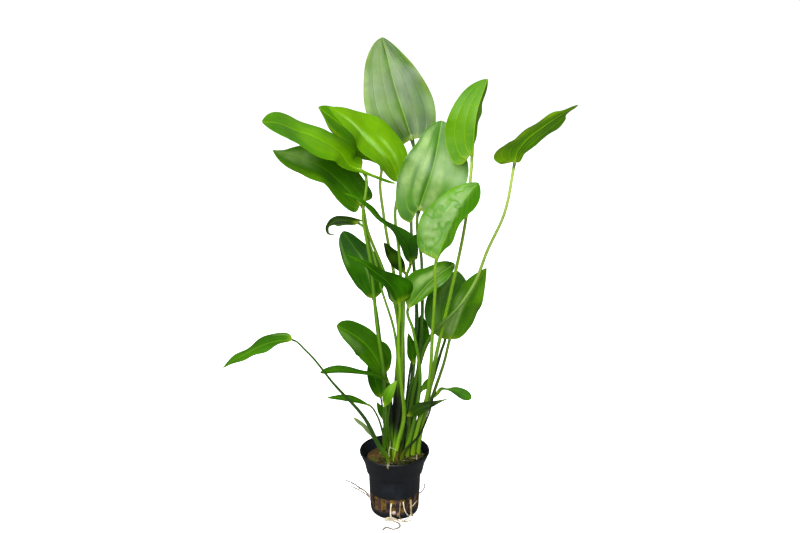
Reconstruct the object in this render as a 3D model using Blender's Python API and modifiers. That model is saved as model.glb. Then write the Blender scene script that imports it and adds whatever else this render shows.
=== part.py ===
"""Potted echinodorus: long-stalked leaves rising from one crown in a slotted nursery pot.

The tables are in millimetres, in the part's own frame: the origin is the middle of the pot's
foot, +Z is up and -Y is the side that the plant shows its leaves to.
"""
import math

import bmesh
import bpy
import numpy as np
from mathutils import Matrix

MM = 0.001
GAP = 0.3

# Pot, millimetres
POT_HEIGHT = 86.0
RIM_RADIUS = 45.0
FOOT_RADIUS = 28.0
WALL = 1.2
FLOOR = 1.6
POT_OUTSIDE = [
    (44.4, POT_HEIGHT), (RIM_RADIUS, 84.0), (42.4, 77.5), (39.2, 70.5), (37.6, 63.0),
    (36.4, 57.5), (33.6, 54.3), (32.5, 24.0), (31.4, 6.0), (FOOT_RADIUS, 0.0),
]
TURN_STEPS = 32
SLOT_COUNT = 16
SLOT_WIDTH = 8.4
SLOT_BOTTOM = 10.0
SLOT_TOP = 30.0
SLOT_INNER = 25.0
SLOT_OUTER = 37.0
SLOT_START = 18.0
DRAIN_COUNT = 4
DRAIN_INNER = 9.0
DRAIN_OUTER = 22.0
DRAIN_WIDTH = 3.0
CUT_OVERRUN = 2.0

# Growing medium and crown, millimetres
SOIL_CLEARANCE = 0.45
SOIL_SHOULDER = (33.6, 76.6)
SOIL_EDGE = (37.4, 70.0)
SOIL_FIRST_KNOT = 4
SOIL_MIDDLE = 79.0
CROWN_CENTRE = (8.0, -3.0)
CROWN_RADII = (27.0, 24.0)
CROWN_BOTTOM = 72.0
CROWN_TOP = 81.5
CROWN_SIDES = 24
CROWN_BEVEL = 1.5
SHARP_ANGLE = math.radians(50)

# Leaf outlines: belly place, base fullness, tip power, tip fullness, lobe share
HEART = (0.32, 2.2, 1.6, 1.55, 0.07)
OVAL = (0.42, 1.9, 1.7, 1.45, 0.02)
SPEAR = (0.42, 1.35, 1.6, 1.25, 0.0)
STRAP = (0.5, 1.1, 2.2, 1.3, 0.0)
TAPER = (0.3, 1.3, 1.0, 0.6, 0.0)

# Shares of the plain half width, from a blade's base to its tip
PLAIN = [(0, 1), (1, 1)]
SHARE_STEPS = 60

# Leaf shape: how the lobes swing back, the neck and tip, and where points crowd together
LOBE_PLACE = 0.08
LOBE_POWER = 1.6
NECK = 2.0
NECK_POWER = 2
TIP = 0.5
EASING = 0.65
MIDRIB_STEPS = 80
CURVE_STEPS = 24

BLADE_THICKNESS = 1.0
BLADE_ROWS = 8
BLADE_COLUMNS = 4

# Stalks: the foot on the crown, the taper, and the gap left before a blade
STALK_FOOT = 82.0
STALK_RISE = 2.5
STALK_SPANS = 6
STALK_FINENESS = 8
STALK_TAPER = 1.5
STRAIGHT_STOP = 1.2
STEEP_STOP = 3.0
STEEP_SLOPE = 0.3

# Young leaves
YOUNG_STATIONS = 11
YOUNG_SIDES = 6
YOUNG_TIP = 0.4
YOUNG_HALF_THICKNESS = 0.5
YOUNG_THINNING = 6


def leaf(foot, stalk, spine, width, face, outline, **changes):
    """One full-grown leaf: where its stalk runs, then where its blade's midrib runs."""
    row = dict(foot=foot, stalk=stalk, spine=spine, width=width, face=face, outline=outline)
    row.update(thick=6.0, thin=3.6, fold=(8, 8), skew=0.0, belly=None, lobe=None, full=None)
    row.update(low=PLAIN, high=PLAIN)
    row.update(changes)
    return row


# Full-grown leaves, millimetres and degrees
LEAVES = [
    leaf((9, 17), [(19, 21, 145), (28, 32, 262), (21, 46, 370)],
         [(22, 60, 478), (3, 70, 535), (-15, 95, 599)], 82, (-0.05, -1, 0.4), HEART,
         low=[(0, 0.8), (0.2, 1), (0.4, 1.08), (0.6, 1.08), (0.8, 1.17), (0.9, 1.24), (1, 1.5)],
         high=[(0, 1), (0.3, 0.98), (0.5, 0.96), (0.7, 0.9), (0.8, 0.83), (0.9, 0.76), (1, 0.6)]),
    leaf((-11, -7), [(-13, -14, 194), (-21, -24, 264), (-28, -32, 348), (-36.5, -34, 404)],
         [(-38, -30, 460), (-50, -30, 464.5), (-62, -30, 480), (-84, -33, 494), (-112, -36, 507),
          (-136, -45, 518), (-149, -50, 519)], 72, (0.15, -0.3, 1), HEART, belly=0.45,
         lobe=(0.4, 0.02),
         low=[(0, 0.2), (0.05, 0.22), (0.08, 0.34), (0.12, 0.5), (0.16, 0.42), (0.2, 0.38),
              (0.3, 0.62), (0.5, 1.08), (0.7, 1.25), (0.8, 1.6), (0.9, 2.2), (1, 3)],
         high=[(0, 1.7), (0.05, 1.3), (0.1, 1.04), (0.2, 0.95), (0.35, 0.8), (0.5, 0.71),
               (0.62, 0.8), (0.75, 1.1), (0.9, 1.25), (1, 1.1)]),
    leaf((-3, 8), [(1, 6, 159), (1, 2, 282), (-14, 2, 329), (-33, 0, 381)],
         [(-40, -2, 412), (-85, -6, 457), (-141, -22, 482)], 66, (0.4, -0.6, 0.75), HEART,
         lobe=(0.05, 0.12),
         low=[(0, 1), (0.1, 0.89), (0.2, 0.76), (0.3, 0.69), (0.4, 0.71), (0.5, 0.84), (0.7, 1),
              (0.8, 1.23), (0.9, 1.41), (1, 1.45)],
         high=[(0, 0.85), (0.1, 1.08), (0.2, 1), (0.6, 1), (0.7, 0.86), (0.8, 0.68), (0.9, 0.36),
               (1, 0.1)]),
    leaf((7, -1), [(11, -3, 184), (9, -4, 291), (6, -3, 351), (1, 0, 400)],
         [(5, 0, 440), (-5, -2, 466), (-20, -2, 485), (-38, -2, 502), (-54, -8, 517),
          (-75, -14, 530)], 70, (0.25, -0.5, 0.9), OVAL, low=[(0, 0.55), (0.3, 0.8), (1, 1)],
         high=[(0, 0.7), (0.2, 1.05), (0.5, 1), (0.75, 0.8), (1, 0.55)]),
    leaf((20, 3), [(26, -5, 160), (34, -9, 255), (33, -20, 345)],
         [(29, -34, 413), (45, -32, 462), (56, -10, 514)], 82, (-0.1, -1, 0.4), HEART, skew=0.06,
         lobe=(0.24, 0.12),
         low=[(0, 0.15), (0.03, 0.18), (0.06, 0.28), (0.1, 0.66), (0.15, 0.8), (0.2, 0.87),
              (0.4, 0.96), (0.6, 0.95),
              (0.7, 0.9), (0.9, 1), (1, 1)],
         high=[(0, 1), (0.35, 1), (0.55, 1.06), (0.75, 1), (1, 1)]),
    leaf((30, -9), [(41, -14, 155), (53, -24, 233), (68, -38, 313), (84, -50, 410)],
         [(89.5, -54, 483), (94, -50, 531), (106, -38, 566)], 64, (0.1, 0.95, 0.1), HEART,
         fold=(80, 4), lobe=(0.02, 0.22),
         low=[(0, 0.1), (0.1, 0.1), (0.2, 0.35), (0.3, 0.57), (0.4, 0.72), (0.6, 0.75),
              (0.8, 1.2), (1, 1.6)],
         high=[(0, 0.5), (0.05, 0.68), (0.1, 0.92), (0.2, 1.02), (0.6, 1), (1, 1.05)]),
    leaf((23, -15), [(42, -28, 181), (46, -54, 270), (48, -70, 328)],
         [(49, -76, 364), (68, -74, 412), (96, -62, 452)], 84, (-0.35, -0.9, 0.45), OVAL,
         fold=(8, 58), lobe=(0.03, 0.03), full=2.6,
         low=[(0, 1), (0.1, 0.94), (0.2, 0.88), (0.4, 0.88), (0.6, 0.75), (0.8, 0.77), (1, 0.75)],
         high=[(0, 0.2), (0.1, 0.3), (0.2, 0.5), (0.4, 0.92), (0.6, 1), (0.7, 1.25),
               (0.8, 1.6), (0.9, 1.8), (1, 1.85)]),
    leaf((17, -11), [(26, -15, 185), (49, -36, 262), (76, -38, 292), (96, -30, 320),
                     (111.5, -25, 361), (130, -20, 402)],
         [(142, -12, 465), (144, -12, 476), (151, -14, 487), (169, -18, 505), (190, -24, 522),
          (210, -34, 536)], 50, (-0.45, 0.8, 0.4), HEART, fold=(8, 0), lobe=(0.05, 0.08),
         belly=0.42,
         low=[(0, 0.7), (0.2, 0.68), (0.35, 0.75), (0.5, 0.9), (0.6, 0.94), (0.73, 0.84),
              (0.84, 0.45), (1, 0.4)],
         high=[(0, 1.6), (0.1, 1.95), (0.23, 1.15), (0.35, 0.68), (0.6, 0.67), (0.73, 0.65),
               (0.84, 0.43), (1, 0.6)]),
    leaf((28, -1), [(50, -3, 167), (63, -4, 211)],
         [(69, -4, 239), (83, -6, 286), (112, -10, 334)], 54, (0.5, -0.5, 0.7), OVAL, skew=-0.1,
         low=[(0, 1.2), (0.1, 1.45), (0.2, 1.1), (0.3, 0.62), (0.4, 0.4), (0.6, 0.45),
              (0.7, 0.57), (0.8, 0.55), (1, 0.4)],
         high=[(0, 1.45), (0.1, 1.4), (0.3, 1.25), (0.5, 1.07), (0.7, 0.94), (0.8, 0.83),
               (0.9, 0.68), (1, 0.5)]),
    leaf((23, 9), [(43, 12, 156), (59, 14, 215)],
         [(64, 14, 235), (61, 16, 266), (66, 18, 286), (80, 24, 319)], 56, (-0.4, -1, 0.35),
         OVAL, low=[(0, 0.8), (0.3, 0.9), (1, 0.9)], high=[(0, 0.6), (0.6, 0.9), (0.8, 1.2),
                                                           (0.95, 1.6), (1, 1.2)]),
    leaf((-0.5, -18), [(8, -18, 164), (11, -12, 257), (15, -13, 326)],
         [(20, -20, 344), (12, -27, 372), (1, -33, 386), (-15, -41, 403), (-29, -49, 419),
          (-42, -56, 432), (-57, -62, 440)], 30, (0.5, -0.4, 0.75), OVAL, belly=0.25,
         lobe=(0.0, 0.12),
         low=[(0, 0.4), (0.12, 1), (0.3, 0.85), (0.45, 0.45), (0.6, 0.3), (1, 0.5)],
         high=[(0, 2.6), (0.12, 2.5), (0.22, 1.7), (0.3, 1.2), (0.45, 0.7), (0.6, 0.45),
               (0.8, 0.5), (1, 0.6)]),
    leaf((1, -11), [(5, -14, 188), (0, -22, 257), (-15, -26, 311), (-28, -28, 366)],
         [(-43, -28, 396), (-59, -30, 399), (-73, -30, 397), (-79, -31, 390), (-78, -32, 384),
          (-68, -34, 382)], 14, (0, -0.9, 0.6), OVAL, lobe=(0.04, 0.2), thick=5.0, thin=2.6,
         low=[(0, 0.8), (0.4, 0.9), (0.55, 0.6), (0.7, 0.4), (1, 0.35)],
         high=[(0, 0.8), (0.4, 0.9), (0.55, 0.6), (0.7, 0.4), (1, 0.35)]),
    leaf((-8, 2), [(-8, 10, 150), (-18, 16, 230)],
         [(-26, 20, 285), (-39, 22, 332), (-64, 30, 369)], 46, (-0.4, -0.9, 0.45), OVAL,
         low=[(0, 0.75), (0.1, 0.76), (0.2, 0.97), (0.3, 1.05), (0.5, 1.07), (0.7, 1.18),
              (0.8, 1.22), (0.9, 1.35), (1, 1.7)],
         high=[(0, 0.7), (0.1, 0.93), (0.3, 1), (0.5, 0.88), (0.7, 0.8), (0.8, 0.8), (0.9, 0.88),
               (1, 1.1)]),
    leaf((1, -25), [(12, -32, 148), (7, -38, 207), (5, -44, 266)],
         [(6, -48, 302), (-1, -49, 320), (-9, -51, 331), (-20, -54, 341), (-38, -60, 357),
          (-54, -66, 367)], 40, (0.2, -0.5, 0.9), OVAL, belly=0.25,
         lobe=(0.02, 0.06),
         low=[(0, 0.6), (0.2, 0.7), (0.5, 0.6), (0.7, 0.35), (0.85, 0.25), (1, 0.3)],
         high=[(0, 1.8), (0.12, 1.65), (0.25, 1.15), (0.4, 0.75), (0.7, 0.38), (1, 0.3)]),
    leaf((15, -19), [(25, -22, 137), (32, -26, 194), (23, -32, 262)],
         [(17, -36, 292), (39, -38, 321), (72, -38, 348)], 47, (-0.2, -0.6, 0.75), OVAL,
         lobe=(0.0, 0.0),
         low=[(0, 1), (0.2, 1.1), (0.3, 1.25), (0.4, 1.22), (0.5, 1.1), (0.6, 0.92), (0.7, 0.95),
              (0.8, 1.1), (0.9, 1.15), (1, 1.15)],
         high=[(0, 0.3), (0.1, 0.38), (0.2, 0.43), (0.4, 0.56), (0.5, 0.62), (0.6, 0.63),
               (0.7, 0.7), (0.8, 0.85), (1, 1)]),
    leaf((11, 7), [(18, 10, 178), (29, 14, 270), (23, 14, 306)],
         [(13, 14, 320), (0, 12, 340), (-13, 8, 361)], 16, (-0.2, -0.8, 0.5), SPEAR,
         thick=4.0, thin=2.2),
    leaf((-4, -5), [(-4, -4, 143)],
         [(-12, -2, 191), (-38, -6, 236), (-71, -14, 261)], 49, (0.3, -0.6, 0.7), HEART,
         lobe=(0.02, 0.02),
         low=[(0, 0.6), (0.2, 0.65), (0.3, 0.75), (0.4, 0.83), (0.5, 0.89), (0.6, 1.08),
              (0.7, 1.14), (0.8, 1.1), (1, 1.05)],
         high=[(0, 1), (0.2, 1.1), (0.3, 1.05), (0.4, 0.88), (0.5, 0.87), (0.6, 0.92),
               (0.7, 1.05), (0.8, 1.22), (0.9, 1.38), (1, 1.7)]),
    leaf((-7, -25), [(-16, -30, 100), (-36, -40, 147), (-74, -57, 203), (-105, -65, 248)],
         [(-121, -67, 263), (-139, -67, 261), (-156, -68, 255), (-174, -70, 246),
          (-188, -73, 240), (-203, -75, 230)], 36, (-0.1, -0.3, 1), OVAL, thick=6.5, thin=2.4,
         low=[(0, 0.5), (0.1, 0.5), (0.3, 0.6), (0.6, 0.6), (0.8, 0.6), (1, 0.6)],
         high=[(0, 1.2), (0.1, 1.15), (0.3, 1.05), (0.5, 0.8), (0.7, 0.7), (1, 0.8)]),
    leaf((4, 6), [(6, 14, 162), (4, 22, 282), (-13, 28, 389), (-17.5, 30, 428)],
         [(-17, 32, 455), (-53, 28, 494), (-90, 18, 525)], 60, (0.25, -0.5, 0.9), OVAL,
         low=[(0, 0.5), (0.1, 0.55), (0.2, 0.78), (0.3, 0.97), (0.4, 1.08), (0.6, 1.05),
              (0.7, 1.2), (0.8, 1.38), (0.9, 1), (1, 0.5)]),
]

# Young basal leaves, stalk and blade in one piece
YOUNG_LEAVES = [
    leaf((-5, -12), [(-8, -19, 136)],
         [(-8, -30, 193), (-15, -33, 200), (-38, -39, 208), (-68, -45, 215), (-90, -50, 213)],
         28, (0, -0.15, 1), SPEAR, thick=4.0, thin=2.4,
         low=[(0, 0.9), (0.2, 0.7), (0.35, 0.35), (0.6, 0.6), (0.8, 0.9), (1, 2)],
         high=[(0, 1), (0.2, 0.6), (0.35, 0.45), (0.6, 0.75), (0.8, 1.2), (1, 2.4)]),
    leaf((-12, -13), [(-16, -16, 122), (-22, -16, 141)],
         [(-31, -17, 155), (-53, -20, 166), (-84, -24, 169)], 10, (0.2, -0.5, 0.9), STRAP,
         thick=4.0, thin=2.4),
    leaf((-17, -1), [(-20, -8, 93)], [(-27, -18, 111), (-38, -22, 129), (-52, -28, 144)],
         7, (0.5, -0.6, 0.6), STRAP, thick=4.0, thin=2.4),
    leaf((-7, -18.5), [(-12, -34, 129)], [(-12, -40, 165), (-7, -42, 182), (3, -38, 198)],
         15, (-0.6, -0.9, 0.3), SPEAR, thick=4.0, thin=2.4),
    leaf((9, -25), [(32, -34, 124), (43, -40, 155)],
         [(52, -43, 184), (58, -44, 189), (66, -46, 190), (83, -51, 186), (94, -54, 181)], 16,
         (-0.2, -0.8, 0.6), OVAL, thick=4.0, thin=2.0, lobe=(0.0, 0.22),
         low=[(0, 0.6), (0.12, 0.5), (0.3, 0.15), (0.5, 0.6), (0.75, 1.15), (1, 2)],
         high=[(0, 1), (0.12, 0.7), (0.3, 0.15), (0.5, 0.5), (0.75, 1.1), (1, 2)]),
    leaf((6, -19), [(15, -24, 125)],
         [(16, -28, 146), (33, -33, 159), (53, -36, 168), (75, -38, 177)], 15,
         (0.2, -0.8, 0.6), TAPER, thick=4.0, thin=2.4),
    leaf((17, 16), [(29, 26, 143)], [(32, 34, 210), (36, 36, 232), (34, 36, 257)],
         20, (-0.5, -1, 0.1), OVAL, thick=4.0, thin=2.4),
    leaf((9, -8), [(17, -12, 160)], [(24, -16, 211), (21, -18, 231), (17, -22, 254)],
         15, (0.6, -0.8, 0.2), SPEAR, thick=4.0, thin=2.4),
    leaf((1, 14), [(-13, 22, 110)], [(-18, 24, 148), (-25, 22, 173), (-30, 18, 208)],
         19, (0.2, -1, 0.3), OVAL, thick=4.0, thin=2.4),
    leaf((16, -4), [(30, -6, 130)], [(33, -6, 169), (40, -6, 179), (45, -8, 189)],
         8, (0, -1, 0.5), STRAP, thick=3.0, thin=2.0),
    leaf((-14, 7), [(-15, 4, 103)], [(-14, 2, 126), (-18, 0, 142), (-22, -4, 154)],
         9, (-0.3, -0.9, 0.4), SPEAR, thick=3.0, thin=2.0),
]

# Roots that come out of the pot's slots: route and diameter, millimetres
ROOTS = {
    "root_left_long": (2.2, [(-31.5, -9.9, 21), (-38, -9, 30), (-47, -10, 37), (-55, -12, 44),
                             (-63, -14, 49)]),
    "root_left_short": (1.4, [(-31.5, 2, 14), (-40, 1, 22), (-48, -2, 29), (-59, -4, 36)]),
    "root_right": (1.4, [(31.7, -3, 24), (35, -5, 27), (38, -7, 33), (39, -8, 40)]),
    "root_front_long": (1.6, [(-4, -31.9, 25), (-5, -33.6, 18), (-5, -34, 9), (-4, -33, 3),
                              (-1, -34, 1.2), (5, -39, 1.2), (7, -47, 1.2), (-2, -54, 1.2),
                              (-11, -50, 1.2), (-15, -56, 1.2)]),
    "root_front_middle": (1.6, [(7.5, -31.7, 27), (7, -33, 20), (6, -34, 11), (8, -33, 3),
                                (13, -34, 1.2), (21, -33, 1.2)]),
    "root_front_right": (1.6, [(11.1, -30.1, 27), (12, -32.5, 20), (15, -33, 12),
                               (18, -31, 6)]),
    "root_bundle": (2.6, [(20.6, -26.2, 27), (21.3, -27, 18), (21.5, -27, 8), (24, -25, 3)]),
}
ROOT_SPAN = 4.4
ROOT_FEWEST_SPANS = 5
ROOT_TIP_SHARE = 0.6

# Finishes: colour, roughness
FINISHES = {
    "pot": ((0.012, 0.014, 0.018), 0.5),
    "growing_medium": ((0.09, 0.055, 0.025), 0.95),
    "crown": ((0.16, 0.2, 0.05), 0.7),
    "blade": ((0.07, 0.24, 0.015), 0.4),
    "stalk": ((0.22, 0.42, 0.03), 0.45),
    "young_leaf": ((0.1, 0.3, 0.02), 0.45),
    "root": ((0.78, 0.72, 0.56), 0.6),
}


def clear_scene():
    for obj in list(bpy.data.objects):
        bpy.data.objects.remove(obj, do_unlink=True)


def new_collection(name):
    collection = bpy.data.collections.new(name)
    bpy.context.scene.collection.children.link(collection)
    return collection


def finish_for(name, kind):
    """A Principled material of the part's own."""
    colour, roughness = FINISHES[kind]
    material = bpy.data.materials.new(name + "_finish")
    material.use_nodes = True
    shader = material.node_tree.nodes["Principled BSDF"]
    shader.inputs["Base Color"].default_value = (*colour, 1.0)
    shader.inputs["Roughness"].default_value = roughness
    shader.inputs["Metallic"].default_value = 0.0
    return material


def add_object(name, data, collection, kind=None):
    obj = bpy.data.objects.new(name, data)
    collection.objects.link(obj)
    if kind:
        data.materials.append(finish_for(name, kind))
    return obj


# Curves and leaf surfaces

def smooth_curve(points, count):
    """Points evenly spaced along a smooth curve through the given ones."""
    knots = np.asarray(points, float)
    ends = np.vstack([2 * knots[0] - knots[1], knots, 2 * knots[-1] - knots[-2]])
    t = np.linspace(0, 1, CURVE_STEPS, endpoint=False)[:, None]
    pieces = []
    for before, start, end, after in zip(ends, ends[1:], ends[2:], ends[3:]):
        run = [np.linalg.norm(b - a) for a, b in ((before, start), (start, end), (end, after))]
        leave = (start - before) / run[0] * run[1] + (end - start) / run[1] * run[0]
        arrive = (end - start) / run[1] * run[2] + (after - end) / run[2] * run[1]
        leave = leave * run[1] / (run[0] + run[1])
        arrive = arrive * run[1] / (run[1] + run[2])
        pieces.append(start * (2 * t**3 - 3 * t**2 + 1) + leave * (t**3 - 2 * t**2 + t)
                      + end * (3 * t**2 - 2 * t**3) + arrive * (t**3 - t**2))
    path = np.vstack(pieces + [knots[-1:]])
    along = np.r_[0, np.cumsum(np.linalg.norm(np.diff(path, axis=0), axis=1))]
    places = np.linspace(0, along[-1], count)
    return np.stack([np.interp(places, along, path[:, k]) for k in range(3)], 1)


def unit(vectors):
    return vectors / np.linalg.norm(vectors, axis=-1, keepdims=True)


class Blade:
    """A leaf surface: s runs from base to tip along the midrib, t from edge to edge."""

    def __init__(self, row, neck=NECK, end=TIP):
        belly, full, self.tip_power, self.tip_full, lobe = row["outline"]
        self.belly = row["belly"] or belly
        self.full = row["full"] or full
        self.lobes = row["lobe"] or (lobe, lobe)
        self.shares = [smooth_curve([(s, share, 0) for s, share in row[side]], SHARE_STEPS)
                       for side in ("low", "high")]
        self.half = row["width"] / 2
        self.fold = [math.radians(angle) for angle in row["fold"]]
        self.skew, self.neck, self.end = row["skew"], neck, end
        self.path = smooth_curve(row["spine"], MIDRIB_STEPS)
        steps = np.linalg.norm(np.diff(self.path, axis=0), axis=1)
        self.along = np.r_[0, np.cumsum(steps)]
        self.length = self.along[-1]
        self.tangent = unit(np.gradient(self.path, self.along, axis=0))
        face = np.asarray(row["face"], float)
        lean = (self.tangent @ face)[:, None] * self.tangent
        self.normal = unit(face - lean)
        self.side = np.cross(self.tangent, self.normal)

    def half_width(self, s, t):
        """How far the outline is from the midrib, on the side that t is on."""
        rise = np.clip((self.belly - s) / self.belly, 0, 1)
        fall = np.clip((s - self.belly) / (1 - self.belly), 0, 1)
        lower = (1 - rise**2) ** (1 / self.full)
        upper = (1 - fall**self.tip_power) ** (1 / self.tip_full)
        low, high = (np.interp(s, share[:, 0], share[:, 1]) for share in self.shares)
        width = self.half * np.where(s < self.belly, lower, upper) * np.where(t < 0, low, high)
        return np.maximum(width, self.neck * (1 - s) ** NECK_POWER + self.end)

    def points(self, s, t):
        """World points, in millimetres, for arrays s in 0..1 and t in -1..1."""
        swing = s / LOBE_PLACE * np.exp(1 - s / LOBE_PLACE)
        lobe = np.where(t < 0, self.lobes[0], self.lobes[1])
        back = lobe * self.length * swing * np.abs(t) ** LOBE_POWER
        reach = s * self.length - back
        place = np.clip(reach, 0, self.length)
        across = t * self.half_width(s, t) * (1 + self.skew * np.sign(t))
        fold = np.where(t < 0, self.fold[0], self.fold[1])
        parts = []
        for axis in range(3):
            centre = np.interp(place, self.along, self.path[:, axis])
            tangent = np.interp(place, self.along, self.tangent[:, axis])
            side = np.interp(place, self.along, self.side[:, axis])
            normal = np.interp(place, self.along, self.normal[:, axis])
            parts.append(centre + tangent * (reach - place) + side * across * np.cos(fold)
                         + normal * np.abs(across) * np.sin(fold))
        return np.stack(parts, -1)


def along_blade(u):
    """Even steps u eased towards the base and the tip, where the outline turns fastest."""
    return (1 - EASING) * u + EASING * (1 - np.cos(np.pi * u)) / 2


def blade_object(name, row, collection):
    """A thin leaf blade: a grid laid on the leaf surface and given its thickness."""
    blade = Blade(row)
    mesh = bpy.data.meshes.new(name)
    shape = bmesh.new()
    bmesh.ops.create_grid(shape, x_segments=BLADE_COLUMNS, y_segments=BLADE_ROWS, size=1.0)
    flat = np.array([vertex.co[:] for vertex in shape.verts])
    places = blade.points(along_blade((flat[:, 1] + 1) / 2), flat[:, 0])
    for vertex, place in zip(shape.verts, places * MM):
        vertex.co = place
    shape.to_mesh(mesh)
    shape.free()
    mesh.shade_smooth()
    obj = add_object(name, mesh, collection, "blade")
    shell = obj.modifiers.new("thickness", "SOLIDIFY")
    shell.thickness = BLADE_THICKNESS * MM
    shell.offset = 0.0
    return obj


def tube_object(name, points, radii, collection, kind):
    """A round tube along the points, as a poly curve with filled ends."""
    curve = bpy.data.curves.new(name, "CURVE")
    curve.dimensions = "3D"
    curve.bevel_depth = MM
    curve.bevel_resolution = 1
    curve.use_fill_caps = True
    spline = curve.splines.new("POLY")
    spline.points.add(len(points) - 1)
    spline.use_smooth = True
    for knot, place, radius in zip(spline.points, points, radii):
        knot.co = (*(np.asarray(place) * MM), 1.0)
        knot.radius = radius
    return add_object(name, curve, collection, kind)


def stalk_route(row, finish):
    """The stalk's centre line: upright at the crown, then smooth to its last point."""
    foot = np.array([*row["foot"], STALK_FOOT])
    lifted = foot + [0, 0, STALK_RISE]
    route = smooth_curve([lifted, *row["stalk"], finish], STALK_SPANS * STALK_FINENESS + 1)
    return foot, route


def stalk_radii(row, count):
    fraction = np.linspace(0, 1, count)
    taper = (1 - fraction) ** STALK_TAPER
    return (row["thick"] * taper + row["thin"] * (1 - taper)) / 2


def stalk_object(name, row, collection):
    """A leaf stalk that stops just short of its blade."""
    foot, route = stalk_route(row, row["spine"][0])
    heading = unit(route[-1] - route[-3])
    blade = Blade(row)
    slope = np.clip(abs(heading @ blade.normal[0]), 0.0, 1.0)
    radius = row["thin"] / 2
    level = math.sqrt(1 - slope**2)
    stop = STRAIGHT_STOP
    if slope > STEEP_SLOPE:
        stop = min(STEEP_STOP, (BLADE_THICKNESS / 2 + GAP + radius * level) / slope)
    along = np.r_[0, np.cumsum(np.linalg.norm(np.diff(route, axis=0), axis=1))]
    places = np.linspace(0, along[-1] - stop, STALK_SPANS + 1)
    path = np.stack([np.interp(places, along, route[:, k]) for k in range(3)], 1)
    points = np.vstack([foot, path])
    return tube_object(name, points, stalk_radii(row, len(points)), collection, "stalk")


def young_leaf_object(name, row, collection):
    """A small leaf in one piece: a loft from its round stalk to its flat blade."""
    blade = Blade(row, neck=row["thin"] / 2, end=YOUNG_TIP)
    foot, route = stalk_route(row, row["spine"][0])
    stalk_share = YOUNG_STATIONS // 3
    along = np.linspace(0, len(route) - 1, stalk_share + 1).round().astype(int)[:-1]
    centres = [foot, *route[along]]
    radii = stalk_radii(row, len(centres))
    stations = []
    for index, (centre, radius) in enumerate(zip(centres, radii)):
        ahead = centres[index + 1] if index + 1 < len(centres) else blade.path[0]
        heading = unit(ahead - centre)
        blend = index / len(centres)
        face = unit((1 - blend) * np.array([0, -1, 0.0]) + blend * blade.normal[0])
        if index == 0:
            heading = np.array([0, 0, 1.0])
        across = unit(np.cross(heading, face))
        stations.append((centre, across, np.cross(across, heading), radius, radius))
    for s in along_blade(np.linspace(0, 1, YOUNG_STATIONS - stalk_share + 1)):
        centre, side, normal = (
            np.array([np.interp(s * blade.length, blade.along, table[:, k]) for k in range(3)])
            for table in (blade.path, blade.side, blade.normal))
        extra = row["thin"] / 2 - YOUNG_HALF_THICKNESS
        thick = YOUNG_HALF_THICKNESS + extra * (1 - s) ** YOUNG_THINNING
        low, high = (float(blade.half_width(s, t)) for t in (-1, 1))
        middle = centre + side * (high - low) / 2
        stations.append((middle, side, normal, (low + high) / 2, thick))
    shape = bmesh.new()
    rings = []
    for centre, across, normal, wide, thick in stations:
        ring = []
        for corner in range(YOUNG_SIDES):
            angle = 2 * math.pi * corner / YOUNG_SIDES
            place = centre + across * wide * math.cos(angle) + normal * thick * math.sin(angle)
            ring.append(shape.verts.new(place * MM))
        rings.append(ring)
    for lower, upper in zip(rings, rings[1:]):
        for corner in range(YOUNG_SIDES):
            beside = (corner + 1) % YOUNG_SIDES
            shape.faces.new((lower[corner], lower[beside], upper[beside], upper[corner]))
    shape.faces.new(rings[0][::-1])
    shape.faces.new(rings[-1])
    bmesh.ops.recalc_face_normals(shape, faces=shape.faces)
    mesh = bpy.data.meshes.new(name)
    shape.to_mesh(mesh)
    shape.free()
    mesh.shade_smooth()
    return add_object(name, mesh, collection, "young_leaf")


# Turned pieces

def turned_object(name, profile, collection, kind):
    """A profile of (radius, height) pairs turned about the Z axis."""
    mesh = bpy.data.meshes.new(name)
    places = [(radius * MM, 0.0, height * MM) for radius, height in profile]
    edges = [(index, index + 1) for index in range(len(places) - 1)]
    mesh.from_pydata(places, edges, [])
    obj = add_object(name, mesh, collection, kind)
    turn = obj.modifiers.new("turn", "SCREW")
    turn.steps = TURN_STEPS
    turn.render_steps = TURN_STEPS
    turn.use_merge_vertices = True
    turn.merge_threshold = 0.00001
    obj.rotation_euler.z = math.radians(SLOT_START)
    return obj


def cut(obj, cutter):
    cutter.display_type = "WIRE"
    cutter.hide_render = True
    boolean = obj.modifiers.new("cut", "BOOLEAN")
    boolean.operation = "DIFFERENCE"
    boolean.object = cutter


def radial_boxes(name, count, start, inner, outer, width, low, high, collection):
    """Boxes set round the Z axis, to cut slots with."""
    shape = bmesh.new()
    for index in range(count):
        made = bmesh.ops.create_cube(shape, size=1.0)["verts"]
        size = ((outer - inner) * MM, width * MM, (high - low) * MM)
        bmesh.ops.scale(shape, vec=size, verts=made)
        middle = ((inner + outer) / 2 * MM, 0.0, (low + high) / 2 * MM)
        bmesh.ops.translate(shape, vec=middle, verts=made)
        turn = Matrix.Rotation(math.radians(start + 360.0 * index / count), 3, "Z")
        bmesh.ops.rotate(shape, verts=made, cent=(0, 0, 0), matrix=turn)
    mesh = bpy.data.meshes.new(name)
    shape.to_mesh(mesh)
    shape.free()
    return add_object(name, mesh, collection)


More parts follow.
